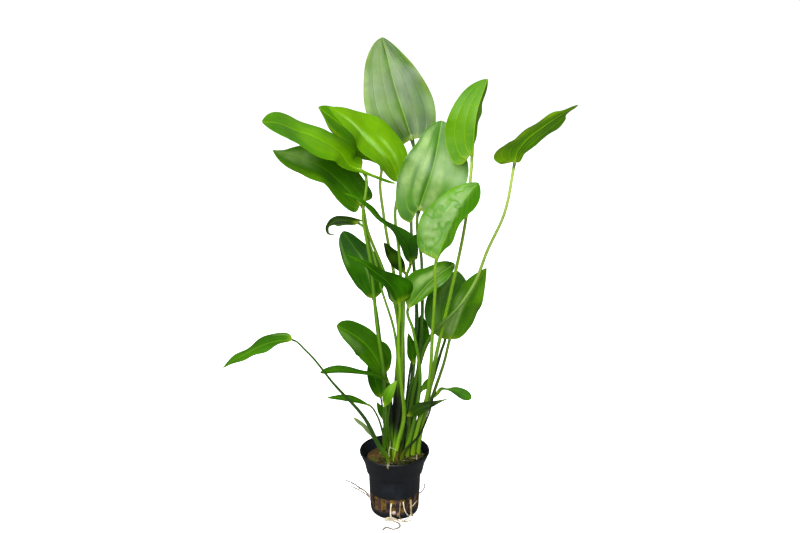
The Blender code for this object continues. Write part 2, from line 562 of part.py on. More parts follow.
def pot_object(parts, cutters):
    inside = [(radius - WALL, height) for radius, height in POT_OUTSIDE[1:-1]]
    floor = [(0.0, FLOOR), (FOOT_RADIUS - WALL, FLOOR)]
    profile = floor + inside[::-1] + POT_OUTSIDE + [(0.0, 0.0)]
    pot = turned_object("pot", profile, parts, "pot")
    cut(pot, radial_boxes("side_slots", SLOT_COUNT, SLOT_START, SLOT_INNER,
                          SLOT_OUTER, SLOT_WIDTH, SLOT_BOTTOM, SLOT_TOP, cutters))
    cut(pot, radial_boxes("drain_slots", DRAIN_COUNT, SLOT_START, DRAIN_INNER, DRAIN_OUTER,
                          DRAIN_WIDTH, -CUT_OVERRUN, FLOOR + CUT_OVERRUN, cutters))
    return pot


def oval_disc(name, radii, low, high, collection, kind=None):
    """An upright elliptical disc over the crown's centre."""
    mesh = bpy.data.meshes.new(name)
    shape = bmesh.new()
    bmesh.ops.create_cone(shape, cap_ends=True, segments=CROWN_SIDES, radius1=1.0,
                          radius2=1.0, depth=1.0)
    size = (radii[0] * MM, radii[1] * MM, (high - low) * MM)
    bmesh.ops.scale(shape, vec=size, verts=shape.verts)
    middle = (CROWN_CENTRE[0] * MM, CROWN_CENTRE[1] * MM, (low + high) / 2 * MM)
    bmesh.ops.translate(shape, vec=middle, verts=shape.verts)
    shape.to_mesh(mesh)
    shape.free()
    mesh.shade_smooth()
    mesh.set_sharp_from_angle(angle=SHARP_ANGLE)
    return add_object(name, mesh, collection, kind)


def medium_object(parts, cutters):
    """The root plug: it fills the pot and has a shallow pocket for the crown."""
    shrink = WALL + SOIL_CLEARANCE
    wall = [(radius - shrink, height) for radius, height in POT_OUTSIDE[SOIL_FIRST_KNOT:-1]]
    bottom = FLOOR + SOIL_CLEARANCE
    profile = [(0.0, SOIL_MIDDLE), SOIL_SHOULDER, SOIL_EDGE, *wall,
               (FOOT_RADIUS - shrink, bottom), (0.0, bottom)]
    medium = turned_object("growing_medium", profile, parts, "growing_medium")
    pocket = tuple(radius + SOIL_CLEARANCE for radius in CROWN_RADII)
    cut(medium, oval_disc("crown_pocket", pocket, CROWN_BOTTOM - SOIL_CLEARANCE,
                          CROWN_TOP + CUT_OVERRUN, cutters))
    return medium


def crown_object(parts):
    crown = oval_disc("crown", CROWN_RADII, CROWN_BOTTOM, CROWN_TOP, parts, "crown")
    soft_edge = crown.modifiers.new("soft_edge", "BEVEL")
    soft_edge.width = CROWN_BEVEL * MM
    soft_edge.segments = 1
    return crown


def root_object(name, diameter, route, parts):
    length = sum(math.dist(a, b) for a, b in zip(route, route[1:]))
    spans = max(ROOT_FEWEST_SPANS, round(length / ROOT_SPAN / diameter))
    points = smooth_curve(route, spans + 1)
    radii = diameter / 2 * np.linspace(1.0, ROOT_TIP_SHARE, spans + 1)
    return tube_object(name, points, radii, parts, "root")


def build():
    clear_scene()
    parts = new_collection("potted_echinodorus")
    cutters = new_collection("cutters")
    pot_object(parts, cutters)
    medium_object(parts, cutters)
    crown_object(parts)
    for number, row in enumerate(LEAVES, 1):
        stalk_object(f"leaf_stalk_{number:02d}", row, parts)
        blade_object(f"leaf_blade_{number:02d}", row, parts)
    for number, row in enumerate(YOUNG_LEAVES, 1):
        young_leaf_object(f"young_leaf_{number:02d}", row, parts)
    for name, (diameter, route) in ROOTS.items():
        root_object(name, diameter, route, parts)


build()
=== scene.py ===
"""Looks of the potted echinodorus, built round its fixed frame.

Tables are in millimetres, in the part's own frame: the origin is the middle of the pot's foot,
+Z is up and -Y is the side that the plant shows its leaves to.
"""
import math
import random

import bpy
import numpy as np
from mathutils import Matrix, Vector, noise


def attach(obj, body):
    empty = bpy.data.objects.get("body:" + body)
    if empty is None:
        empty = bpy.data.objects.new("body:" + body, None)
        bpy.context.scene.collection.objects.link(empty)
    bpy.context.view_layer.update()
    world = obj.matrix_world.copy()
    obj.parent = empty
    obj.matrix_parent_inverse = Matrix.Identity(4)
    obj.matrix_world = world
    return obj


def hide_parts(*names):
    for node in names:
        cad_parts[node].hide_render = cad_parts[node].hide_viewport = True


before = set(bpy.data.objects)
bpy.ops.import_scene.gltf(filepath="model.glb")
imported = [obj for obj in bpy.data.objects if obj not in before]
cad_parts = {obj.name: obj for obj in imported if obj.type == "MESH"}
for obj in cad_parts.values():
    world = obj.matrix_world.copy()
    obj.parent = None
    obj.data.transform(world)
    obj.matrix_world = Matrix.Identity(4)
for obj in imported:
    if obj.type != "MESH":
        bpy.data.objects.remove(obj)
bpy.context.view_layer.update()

MM = 0.001
# Edges sharper than this many degrees stay crisp, on plain pieces and on lumpy ones
CRISP = 50.0
CRISP_LUMPY = 80.0

# Pot
FOOT_RADIUS = 28.0
WALL = 1.2
EDGE_ROUNDING = 0.25
SLOT_COUNT = 16
SLOT_BOTTOM = 10.0
SLOT_TOP = 30.0
SLOT_START = 18.0
SLOT_PITCH = 360.0 / SLOT_COUNT
SLOT_EDGE = 0.34
SLOTS_PER_DRAIN = 4
DRAIN_EDGE = 0.2
DRAIN_REACH = (9.0, 22.0)
# Places across one slot and the bar beside it, as shares of the pitch
SLOT_SHARES = (-0.5, -0.42, -SLOT_EDGE, -DRAIN_EDGE, -0.07, 0.07, DRAIN_EDGE, SLOT_EDGE, 0.42)
# The outside from the rim down and in under the foot: radius and height
POT_OUTSIDE = [
    (43.9, 86.0), (44.7, 85.6), (45.0, 84.6), (44.9, 83.2), (44.3, 82.4), (43.6, 80.6),
    (42.4, 77.5), (40.7, 73.8), (39.2, 70.5), (38.3, 66.5), (37.6, 63.0), (36.9, 60.0),
    (36.4, 57.6), (35.5, 56.2), (34.3, 55.2), (33.75, 54.2), (33.5, 52.0), (33.2, 44.0),
    (32.9, 36.0), (32.7, SLOT_TOP), (32.5, 24.0), (32.1, 17.5), (31.7, SLOT_BOTTOM),
    (31.4, 6.0), (31.0, 3.4), (30.2, 1.5), (29.1, 0.4), (FOOT_RADIUS, 0.0), (25.0, 0.0),
    (22.0, 0.0), (15.5, 0.0), (9.0, 0.0), (4.0, 0.0), (0.4, 0.0),
]

# Growing medium, from the middle of its top round to the middle of its foot: radius and height
MEDIUM_OUTSIDE = [
    (0.5, 79.0), (12.0, 78.6), (24.0, 77.8), (30.0, 77.2), (33.6, 76.0), (35.6, 73.6),
    (37.4, 70.0), (35.95, 63.0), (34.75, 57.5), (31.95, 54.0), (31.6, 44.0), (31.1, 30.0),
    (30.85, 24.0), (30.3, 15.0), (29.75, 6.0), (28.4, 3.6), (26.35, 2.2), (14.0, 2.1),
    (0.5, 2.1),
]
MEDIUM_ROWS = 110
MEDIUM_SIDES = 150
# Its lumps stand up above this height, and push out by a share of their depth below it
LUMPS_RISE = 70.0
LUMPS_BLEND = 3.0
SIDE_LUMPS = 0.35
# Lumps: their size, their depth and a seed
MEDIUM_LUMPS = [(9.0, 1.5, 1), (2.6, 0.7, 2)]
CROWN_LUMPS = [(5.5, 1.4, 3), (1.8, 0.6, 4)]

# Crown
CROWN_CENTRE = (8.0, -3.0)
CROWN_RADII = (27.0, 24.0)
CROWN_BOTTOM = 72.0
CROWN_TOP = 81.5
CROWN_ROWS = 26
CROWN_SIDES = 110
# Where its flat top starts and ends, and then its edge: shares of the radii, with the drop
CROWN_SHARES = (0.02, 0.92)
CROWN_EDGE = [(0.97, 0.6), (1.0, 2.0), (1.0, CROWN_TOP - CROWN_BOTTOM)]
STALK_FOOT = 79.5

# Leaf outlines: belly place, base fullness, tip power, tip fullness, lobe share
HEART = (0.32, 2.2, 1.6, 1.55, 0.07)
OVAL = (0.42, 1.9, 1.7, 1.45, 0.02)
SPEAR = (0.42, 1.35, 1.6, 1.25, 0.0)
STRAP = (0.5, 1.1, 2.2, 1.3, 0.0)
TAPER = (0.3, 1.3, 1.0, 0.6, 0.0)

# Shares of the plain half width, from a blade's base to its tip
PLAIN = [(0, 1), (1, 1)]
SHARE_STEPS = 60

# Leaf shape: how the lobes swing back, the neck and tip, the midrib's rounding in a fold, and
# how strongly points crowd together at both ends
LOBE_PLACE = 0.08
LOBE_POWER = 1.6
NECK = 1.3
NECK_POWER = 2
TIP = 0.4
FOLD_ROUND = 1.0
EASING = 0.65
MIDRIB_STEPS = 80
CURVE_STEPS = 24

# Leaf surface: rows of points, and on each side panels of pillows between the main veins
BLADE_ROWS = 72
STALK_ROWS = 40
PANELS = 3
PANEL_SHARES = (0.0, 0.06, 0.2, 0.4, 0.6, 0.8, 0.94)
# Half the blade's thickness, and the power with which it thins out to the edge
HALF_THICKNESS = 0.22
EDGE_POWER = 8
# Lengths along the blade of its rungs, wrinkles and swells
RUNG_PITCH = 7.5
RUNG_DRIFT = 11.0
WRINKLE_PITCH = 12.0
WRINKLE_DRIFT = 17.0
WRINKLE_FADE = 24.0
LONG_SWELL = 23.0
SHORT_SWELL = 13.0
# How far rungs and creases sway, slant and wobble, in their own pitch
RUNG_SWAY, RUNG_SLANT, RUNG_WOBBLE = 0.5, 0.4, 0.3
CREASE_SWAY, CREASE_SLANT, CREASE_POWER = 0.35, 1.3, 1.4
# The least and the changing share of a wrinkle's depth, and how flat its middle is
WRINKLE_LEAST, WRINKLE_CHANGE, WRINKLE_POWER = 0.55, 0.45, 0.8
# How strong short swells are beside long ones, and how steeply waves grow to the edge
SHORT_SWELL_SHARE = 0.6
WAVE_POWER = 2.5
# Phase between one leaf and the next, and between a leaf's two sides
LEAF_PHASE = 2.4
SIDE_PHASE = 2.1
# The share of the blade over which all this comes in from its base
RELIEF_START = 0.06

# Midrib: the power of its taper, how much of its roundness is above and below the blade, and
# the share of the blade over which it grows out of the round stalk
MIDRIB_POWER = 0.7
MIDRIB_ABOVE = 0.25
MIDRIB_BELOW = 0.7
BASE_SHARE = 0.05
# Side ribs: height, half width, how far from the midrib they start, and their share above
SIDE_RIB = 0.14
SIDE_RIB_WIDTH = 0.8
SIDE_RIB_START = 0.2
SIDE_RIB_ABOVE = 0.3

# Stalks: the steps of their route, how far it starts straight up, and the midrib step it aims at
ROUTE_STEPS = 600
FOOT_LIFT = 5.0
NECK_STEP = 8
# Powers of their taper and of their twist from the crown's middle to the blade's face
STALK_TAPER = 1.5
TWIST_POWER = 1.3
STALK_RIBS = 5
STALK_RIB_DEPTH = 0.035
# The clasping foot: how high it reaches, and how much wider and deeper it is than the stalk
CLASP_HEIGHT = 34.0
CLASP_POWER = 1.5
CLASP_WIDE = 0.45
CLASP_DEEP = 0.12

# Roots: a diameter, then the route's points
ROOTS = {
    "root_left_long": (2.2, [(-31.5, -9.9, 21), (-38, -9, 30), (-47, -10, 37), (-55, -12, 44),
                             (-63, -14, 49)]),
    "root_left_short": (1.4, [(-31.5, 2, 14), (-40, 1, 22), (-48, -2, 29), (-59, -4, 36)]),
    "root_right": (1.4, [(31.7, -3, 24), (35, -5, 27), (38, -7, 33), (39, -8, 40)]),
    "root_front_long": (2.0, [(-4, -31.9, 25), (-5, -33.6, 18), (-5, -34, 9), (-4, -33, 3),
                              (-1, -34, 1.2), (5, -39, 1.2), (7, -47, 1.2), (-2, -54, 1.2),
                              (-11, -50, 1.2), (-15, -56, 1.2)]),
    "root_front_middle": (1.6, [(7.5, -31.7, 27), (7, -33, 20), (6, -34, 11), (8, -33, 3),
                                (13, -34, 1.2), (21, -33, 1.2)]),
    "root_front_right": (1.6, [(11.1, -30.1, 27), (12, -32.5, 20), (15, -33, 12),
                               (18, -31, 6)]),
    "root_bundle": (2.6, [(20.6, -26.2, 27), (21.3, -27, 18), (21.5, -27, 8), (24, -25, 3)]),
}
# Each root's look and how thick its tip is as a share, where it isn't plain cream
ROOT_LOOKS = {"root_left_long": ("olive", 0.7), "root_left_short": ("grey", 0.8),
              "root_right": ("grey", 1.0), "root_front_long": ("floor", 1.0),
              "root_front_middle": ("brown", 0.6), "root_bundle": ("brown", 0.8)}
PLAIN_ROOT = ("cream", 0.4)
ROOT_STEPS = 60
ROOT_SIDES = 10
# Knobs along a root: how thick they are, and the angle that they go through from end to end
ROOT_KNOBS = 0.12
ROOT_KNOB_TURNS = 19
# A root's wander: how far, in how many waves, and its least height over the floor
ROOT_WANDER = 0.5
WANDER_WAVES = (1.5, 3.5, 7.0)
FLOOR_CLEARANCE = 0.5

# Strands: a diameter, then the route's points
HAIRS = [
    (0.8, [(-6.5, -30, 91), (-7, -31, 96), (-6.6, -31, 101), (-5.2, -30, 105)]),
    (0.5, [(-6.6, -30.5, 103), (-3.5, -32, 103.6), (0, -32, 102), (2, -31, 101)]),
    (0.4, [(-5.4, -30, 103), (-5.6, -30.4, 108), (-4.6, -30, 112)]),
    (0.8, [(28, -23, 83), (28.6, -24, 87), (27.6, -23.6, 90)]),
    (0.5, [(26, -24, 85), (23, -26.5, 86), (20.6, -26.5, 85)]),
    (0.4, [(14, -29, 84), (11, -31, 85.4), (8.6, -30, 84)]),
]
WISPS = [
    (0.8, [(-31.8, -10, 21), (-34.6, -12, 24), (-36, -12, 30), (-34, -12, 35)]),
    (0.7, [(-31.8, -11, 21), (-33.4, -13, 26), (-33.6, -13, 31), (-37, -13, 35)]),
    (0.8, [(-31.6, -11, 21), (-33, -13, 18), (-33.2, -13, 14), (-32.4, -13, 12)]),
    (1.0, [(-44, -9.6, 34.4), (-48, -11, 34), (-53, -12, 37), (-59, -13, 41)]),
]
ROOTLETS = [
    (2.6, [(-13, -29, 1.4), (-6, -31.6, 2.2), (0, -32, 3.0), (5, -34, 1.8), (11, -37, 1.2)]),
    (2.2, [(-10, -30.6, 3.4), (-3, -32.6, 4.8), (2, -33.6, 3.4), (7, -36.5, 1.4)]),
    (2.0, [(-12, -33, 1.0), (-7, -34.4, 1.4), (-1, -35.4, 2.4), (3, -37, 1.4)]),
    (1.8, [(9, -36, 1.2), (14, -33.4, 2.6), (19, -30.6, 5.2), (21, -29, 8)]),
    (1.4, [(12, -35.6, 1.0), (18, -35, 1.4), (24, -31, 2.6)]),
    (0.9, [(23, -26, 18), (26, -23, 20.5), (29.5, -18, 22)]),
]
# The groups of strands: name, rows, look and first seed
STRANDS = [("crown_hairs", HAIRS, "cream", 40), ("root_wisps", WISPS, "pink", 60),
           ("floor_rootlets", ROOTLETS, "cream", 80)]
STRAND_STEPS = 28
STRAND_SIDES = 7
STRAND_WANDER = 0.35
STRAND_TIP = 0.5

# Clumps of moss: place and size
CLUMPS = [
    (5.4, -29, 81, 3.6), (11, -29.6, 82.5, 3.8), (15, -27, 84, 4.2), (20, -25, 83.5, 4.0),
    (23.5, -22, 84, 3.8), (28, -19, 84, 4.0), (32, -16, 83, 3.6), (35.5, -10.5, 82.5, 3.4),
    (3.4, -22, 83.5, 3.0), (11.5, -22, 85.5, 3.6), (19.6, -17, 85, 3.2), (26.5, -13, 84.5, 3.0),
    (-3, -29.5, 80.5, 3.0), (-11.5, -27, 79, 2.8), (16.5, -29.5, 79, 2.4),
    (24, -25.5, 79, 2.6), (8, -33, 78.4, 2.2), (30, -21, 79, 2.4), (-14, -19, 80, 2.8),
    (-10, -15, 81.5, 2.4), (33, 2, 81, 3.0), (14, 22, 81, 3.0), (0, 19, 81, 2.8),
    (27, 14, 81, 3.0),
]
CLUMP_HEIGHT = 0.9
# A ball that becomes a clump: its rings and sides, its last ring's angle, and its lumps
BALL_ROWS = 11
BALL_SIDES = 16
BALL_END = 86
BALL_SCALE = 4
BALL_LUMPS = (3.2, 0.35)
# Knots of root in the slots: name, middle, half sizes and look
KNOTS = [("slot_knot_left", (-1.0, -30.8, 11.0), (3.2, 2.0, 2.4), "pink"),
         ("slot_knot_right", (4.6, -31.0, 8.5), (1.8, 2.0, 3.2), "brown")]

# Dead sheaths: foot, top, radius, and the angles that they span
SHEATHS = [
    ((1.2, -25.2, 80), (3.6, -26.2, 98), 4.1, -125, -60),
    ((-7, -25.2, 80), (-9.6, -26.4, 90), 4.5, -60, 0),
]
SHEATH_ROWS = 12
SHEATH_STEPS = 9
SHEATH_SHRINK = 0.5
SHEATH_OUTSIDE = 0.25
SHEATH_INSIDE = 0.1

# Dead leaf end over the rim: its route, half width, taper and ripple, and its section
DEAD_END = [(-5, -34, 80), (-6, -39, 85), (-7, -43, 87), (-8, -45.6, 86), (-8.6, -46.2, 83.6),
            (-7.8, -46, 81.6)]
DEAD_END_HALF = 2.3
DEAD_END_TAPER = 0.75
DEAD_END_RIPPLE = 0.2
DEAD_END_RIPPLES = 11
DEAD_END_SECTION = [(-1, 0), (-0.4, 0.35), (0.4, 0.25), (1, 0), (0.4, -0.25), (-0.4, -0.15)]
DEAD_END_FACE = (0, -1.0, 0.3)


def leaf(foot, stalk, spine, width, face, outline, **changes):
    """One leaf: its stalk's foot and route, its midrib, its width, the way it faces, its looks.

    The shares low and high, and the pairs fold (in degrees) and lobe, are for the left and the
    right side, seen from where the blade faces. Thick and thin are the stalk's diameters.
    """
    row = dict(foot=foot, stalk=stalk, spine=spine, width=width, face=face, outline=outline,
               thick=6.0, thin=3.6, fold=(8, 8), skew=0.0, belly=None, lobe=None, full=None,
               low=PLAIN, high=PLAIN, tone="mid", stem="shade", quilt=0.1, rung=0.0, wave=1.6,
               waves=2.5, arch=3.0, swell=0.9, wrinkle=0.0)
    row.update(changes)
    return row


def young(*run, **changes):
    """One young leaf: slimmer and flatter than a full-grown one."""
    # Their plain tone is deep: painted shade
    plain = dict(thick=4.0, thin=2.4, tone="deep", wave=0.5, waves=1.5, arch=1.0, swell=0.2)
    plain.update(changes)
    return leaf(*run, **plain)


# Full-grown leaves, from 1 to 19 as they are named
# The deep and dark tones, and the darker stalk tones, are painted shade
LEAVES = [
    leaf((9, 17), [(19, 21, 145), (28, 32, 262), (21, 46, 370)],
         [(22, 60, 478), (3, 70, 535), (-15, 95, 599)], 82, (-0.05, -1, 0.4), HEART,
         low=[(0, 0.8), (0.2, 1), (0.4, 1.08), (0.6, 1.08), (0.8, 1.17), (0.9, 1.24), (1, 1.5)],
         high=[(0, 1), (0.3, 0.98), (0.5, 0.96), (0.7, 0.9), (0.8, 0.83), (0.9, 0.76), (1, 0.6)],
         tone="misty_sheen", stem="dark", quilt=0.06),
    leaf((-11, -7), [(-13, -14, 194), (-21, -24, 264), (-28, -32, 348), (-36.5, -34, 404)],
         [(-38, -30, 460), (-50, -30, 464.5), (-62, -30, 480), (-84, -33, 494), (-112, -36, 507),
          (-136, -45, 518), (-149, -50, 519)], 72, (0.15, -0.3, 1), HEART, belly=0.45,
         lobe=(0.4, 0.02),
         low=[(0, 0.2), (0.05, 0.22), (0.08, 0.34), (0.12, 0.5), (0.16, 0.42), (0.2, 0.38),
              (0.3, 0.62), (0.5, 1.08), (0.7, 1.25), (0.8, 1.6), (0.9, 2.2), (1, 3)],
         high=[(0, 1.7), (0.05, 1.3), (0.1, 1.04), (0.2, 0.95), (0.35, 0.8), (0.5, 0.71),
               (0.62, 0.8), (0.75, 1.1), (0.9, 1.25), (1, 1.1)],
         tone="bright", stem="green"),
    leaf((-3, 8), [(1, 6, 159), (1, 2, 282), (-14, 2, 329), (-33, 0, 381)],
         [(-40, -2, 412), (-85, -6, 457), (-141, -22, 482)], 66, (0.4, -0.6, 0.75), HEART,
         lobe=(0.05, 0.12),
         low=[(0, 1), (0.1, 0.89), (0.2, 0.76), (0.3, 0.69), (0.4, 0.71), (0.5, 0.84), (0.7, 1),
              (0.8, 1.23), (0.9, 1.41), (1, 1.45)],
         high=[(0, 0.85), (0.1, 1.08), (0.2, 1), (0.6, 1), (0.7, 0.86), (0.8, 0.68), (0.9, 0.36),
               (1, 0.1)], tone="mid", stem="shadowed_gap"),
    leaf((7, -1), [(11, -3, 184), (9, -4, 291), (6, -3, 351), (1, 0, 400)],
         [(5, 0, 440), (-5, -2, 466), (-20, -2, 485), (-38, -2, 502), (-54, -8, 517),
          (-75, -14, 530)], 70, (0.25, -0.5, 0.9), OVAL, low=[(0, 0.55), (0.3, 0.8), (1, 1)],
         high=[(0, 0.7), (0.2, 1.05), (0.5, 1), (0.75, 0.8), (1, 0.55)],
         tone="bright", stem="green"),
    leaf((20, 3), [(26, -5, 160), (34, -9, 255), (33, -20, 345)],
         [(29, -34, 413), (45, -32, 462), (56, -10, 514)], 82, (-0.1, -1, 0.4), HEART, skew=0.06,
         lobe=(0.24, 0.12),
         low=[(0, 0.15), (0.03, 0.18), (0.06, 0.28), (0.1, 0.66), (0.15, 0.8), (0.2, 0.87),
              (0.4, 0.96), (0.6, 0.95), (0.7, 0.9), (0.9, 1), (1, 1)],
         high=[(0, 1), (0.35, 1), (0.55, 1.06), (0.75, 1), (1, 1)], tone="wax", stem="dark",
         quilt=0.06),
    leaf((30, -9), [(41, -14, 155), (53, -24, 233), (68, -38, 313), (84, -50, 410)],
         [(89.5, -54, 483), (94, -50, 531), (106, -38, 566)], 64, (0.1, 0.95, 0.1), HEART,
         fold=(80, 4), lobe=(0.02, 0.22),
         low=[(0, 0.1), (0.1, 0.1), (0.2, 0.35), (0.3, 0.57), (0.4, 0.72), (0.6, 0.75),
              (0.8, 1.2), (1, 1.6)],
         high=[(0, 0.5), (0.05, 0.68), (0.1, 0.92), (0.2, 1.02), (0.6, 1), (1, 1.05)],
         tone="bright", stem="lime", quilt=0.22, rung=0.2),
    leaf((23, -15), [(42, -28, 181), (46, -54, 270), (48, -70, 328)],
         [(49, -76, 364), (68, -74, 412), (96, -62, 452)], 84, (-0.35, -0.9, 0.45), OVAL,
         fold=(8, 58), lobe=(0.03, 0.03), full=2.6,
         low=[(0, 1), (0.1, 0.94), (0.2, 0.88), (0.4, 0.88), (0.6, 0.75), (0.8, 0.77), (1, 0.75)],
         high=[(0, 0.2), (0.1, 0.3), (0.2, 0.5), (0.4, 0.92), (0.6, 1), (0.7, 1.25),
               (0.8, 1.6), (0.9, 1.8), (1, 1.85)],
         tone="crinkle", stem="lime", quilt=0.3, wrinkle=0.9),
    leaf((17, -11), [(26, -15, 185), (49, -36, 262), (76, -38, 292), (96, -30, 320),
                     (111.5, -25, 361), (130, -20, 402)],
         [(142, -12, 465), (144, -12, 476), (151, -14, 487), (169, -18, 505), (190, -24, 522),
          (210, -34, 536)], 50, (-0.45, 0.8, 0.4), HEART, fold=(8, 0), lobe=(0.05, 0.08),
         belly=0.42,
         low=[(0, 0.7), (0.2, 0.68), (0.35, 0.75), (0.5, 0.9), (0.6, 0.94), (0.73, 0.84),
              (0.84, 0.45), (1, 0.4)],
         high=[(0, 1.6), (0.1, 1.95), (0.23, 1.15), (0.35, 0.68), (0.6, 0.67), (0.73, 0.65),
               (0.84, 0.43), (1, 0.6)], tone="bright", stem="long_shadow"),
    leaf((28, -1), [(50, -3, 167), (63, -4, 211)],
         [(69, -4, 239), (83, -6, 286), (112, -10, 334)], 54, (0.5, -0.5, 0.7), OVAL, skew=-0.1,
         low=[(0, 1.2), (0.1, 1.45), (0.2, 1.1), (0.3, 0.62), (0.4, 0.4), (0.6, 0.45),
              (0.7, 0.57), (0.8, 0.55), (1, 0.4)],
         high=[(0, 1.45), (0.1, 1.4), (0.3, 1.25), (0.5, 1.07), (0.7, 0.94), (0.8, 0.83),
               (0.9, 0.68), (1, 0.5)], tone="fresh", stem="light"),
    leaf((23, 9), [(43, 12, 156), (59, 14, 215)],
         [(64, 14, 235), (61, 16, 266), (66, 18, 286), (80, 24, 319)], 56, (-0.4, -1, 0.35),
         OVAL, low=[(0, 0.8), (0.3, 0.9), (1, 0.9)], high=[(0, 0.6), (0.6, 0.9), (0.8, 1.2),
                                                           (0.95, 1.6), (1, 1.2)],
         tone="mid", stem="dark"),
    leaf((-0.5, -18), [(8, -18, 164), (11, -12, 257), (15, -13, 326)],
         [(20, -20, 344), (12, -27, 372), (1, -33, 386), (-15, -41, 403), (-29, -49, 419),
          (-42, -56, 432), (-57, -62, 440)], 30, (0.5, -0.4, 0.75), OVAL, belly=0.25,
         lobe=(0.0, 0.12),
         low=[(0, 0.4), (0.12, 1), (0.3, 0.85), (0.45, 0.45), (0.6, 0.3), (1, 0.5)],
         high=[(0, 2.6), (0.12, 2.5), (0.22, 1.7), (0.3, 1.2), (0.45, 0.7), (0.6, 0.45),
               (0.8, 0.5), (1, 0.6)],
         tone="deep", stem="shadowed_gap"),
    leaf((1, -11), [(5, -14, 188), (0, -22, 257), (-15, -26, 311), (-28, -28, 366)],
         [(-43, -28, 396), (-59, -30, 399), (-73, -30, 397), (-79, -31, 390), (-78, -32, 384),
          (-68, -34, 382)], 14, (0, -0.9, 0.6), OVAL, lobe=(0.04, 0.2), thick=5.0, thin=2.6,
         low=[(0, 0.8), (0.4, 0.9), (0.55, 0.6), (0.7, 0.4), (1, 0.35)],
         high=[(0, 0.8), (0.4, 0.9), (0.55, 0.6), (0.7, 0.4), (1, 0.35)],
         tone="dark", stem="shadowed_gap"),
    leaf((-8, 2), [(-8, 10, 150), (-18, 16, 230)],
         [(-26, 20, 285), (-39, 22, 332), (-64, 30, 369)], 46, (-0.4, -0.9, 0.45), OVAL,
         low=[(0, 0.75), (0.1, 0.76), (0.2, 0.97), (0.3, 1.05), (0.5, 1.07), (0.7, 1.18),
              (0.8, 1.22), (0.9, 1.35), (1, 1.7)],
         high=[(0, 0.7), (0.1, 0.93), (0.3, 1), (0.5, 0.88), (0.7, 0.8), (0.8, 0.8), (0.9, 0.88),
               (1, 1.1)], tone="deep", stem="dark"),
    leaf((1, -25), [(12, -32, 148), (7, -38, 207), (5, -44, 266)],
         [(6, -48, 302), (-1, -49, 320), (-9, -51, 331), (-20, -54, 341), (-38, -60, 357),
          (-54, -66, 367)], 40, (0.2, -0.5, 0.9), OVAL, belly=0.25,
         lobe=(0.02, 0.06),
         low=[(0, 0.6), (0.2, 0.7), (0.5, 0.6), (0.7, 0.35), (0.85, 0.25), (1, 0.3)],
         high=[(0, 1.8), (0.12, 1.65), (0.25, 1.15), (0.4, 0.75), (0.7, 0.38), (1, 0.3)],
         tone="deep", stem="lime"),
    leaf((15, -19), [(25, -22, 137), (32, -26, 194), (23, -32, 262)],
         [(17, -36, 292), (39, -38, 321), (72, -38, 348)], 47, (-0.2, -0.6, 0.75), OVAL,
         lobe=(0.0, 0.0),
         low=[(0, 1), (0.2, 1.1), (0.3, 1.25), (0.4, 1.22), (0.5, 1.1), (0.6, 0.92), (0.7, 0.95),
              (0.8, 1.1), (0.9, 1.15), (1, 1.15)],
         high=[(0, 0.3), (0.1, 0.38), (0.2, 0.43), (0.4, 0.56), (0.5, 0.62), (0.6, 0.63),
               (0.7, 0.7), (0.8, 0.85), (1, 1)], tone="wax", stem="green"),
    leaf((11, 7), [(18, 10, 178), (29, 14, 270), (23, 14, 306)],
         [(13, 14, 320), (0, 12, 340), (-13, 8, 361)], 16, (-0.2, -0.8, 0.5), SPEAR,
         thick=4.0, thin=2.2, tone="dark", stem="dark"),
    leaf((-4, -5), [(-4, -4, 143)],
         [(-12, -2, 191), (-38, -6, 236), (-71, -14, 261)], 49, (0.3, -0.6, 0.7), HEART,
         lobe=(0.02, 0.02),
         low=[(0, 0.6), (0.2, 0.65), (0.3, 0.75), (0.4, 0.83), (0.5, 0.89), (0.6, 1.08),
              (0.7, 1.14), (0.8, 1.1), (1, 1.05)],
         high=[(0, 1), (0.2, 1.1), (0.3, 1.05), (0.4, 0.88), (0.5, 0.87), (0.6, 0.92),
               (0.7, 1.05), (0.8, 1.22), (0.9, 1.38), (1, 1.7)], tone="mid", stem="shadowed_gap"),
    leaf((-7, -25), [(-16, -30, 100), (-36, -40, 147), (-74, -57, 203), (-105, -65, 248)],
         [(-121, -67, 263), (-139, -67, 261), (-156, -68, 255), (-174, -70, 246),
          (-188, -73, 240), (-203, -75, 230)], 36, (-0.1, -0.3, 1), OVAL, thick=6.5, thin=2.4,
         low=[(0, 0.5), (0.1, 0.5), (0.3, 0.6), (0.6, 0.6), (0.8, 0.6), (1, 0.6)],
         high=[(0, 1.2), (0.1, 1.15), (0.3, 1.05), (0.5, 0.8), (0.7, 0.7), (1, 0.8)],
         tone="mid", stem="dark"),
    leaf((4, 6), [(6, 14, 162), (4, 22, 282), (-13, 28, 389), (-17.5, 30, 428)],
         [(-17, 32, 455), (-53, 28, 494), (-90, 18, 525)], 60, (0.25, -0.5, 0.9), OVAL,
         low=[(0, 0.5), (0.1, 0.55), (0.2, 0.78), (0.3, 0.97), (0.4, 1.08), (0.6, 1.05),
              (0.7, 1.2), (0.8, 1.38), (0.9, 1), (1, 0.5)], tone="bright", stem="light"),
]

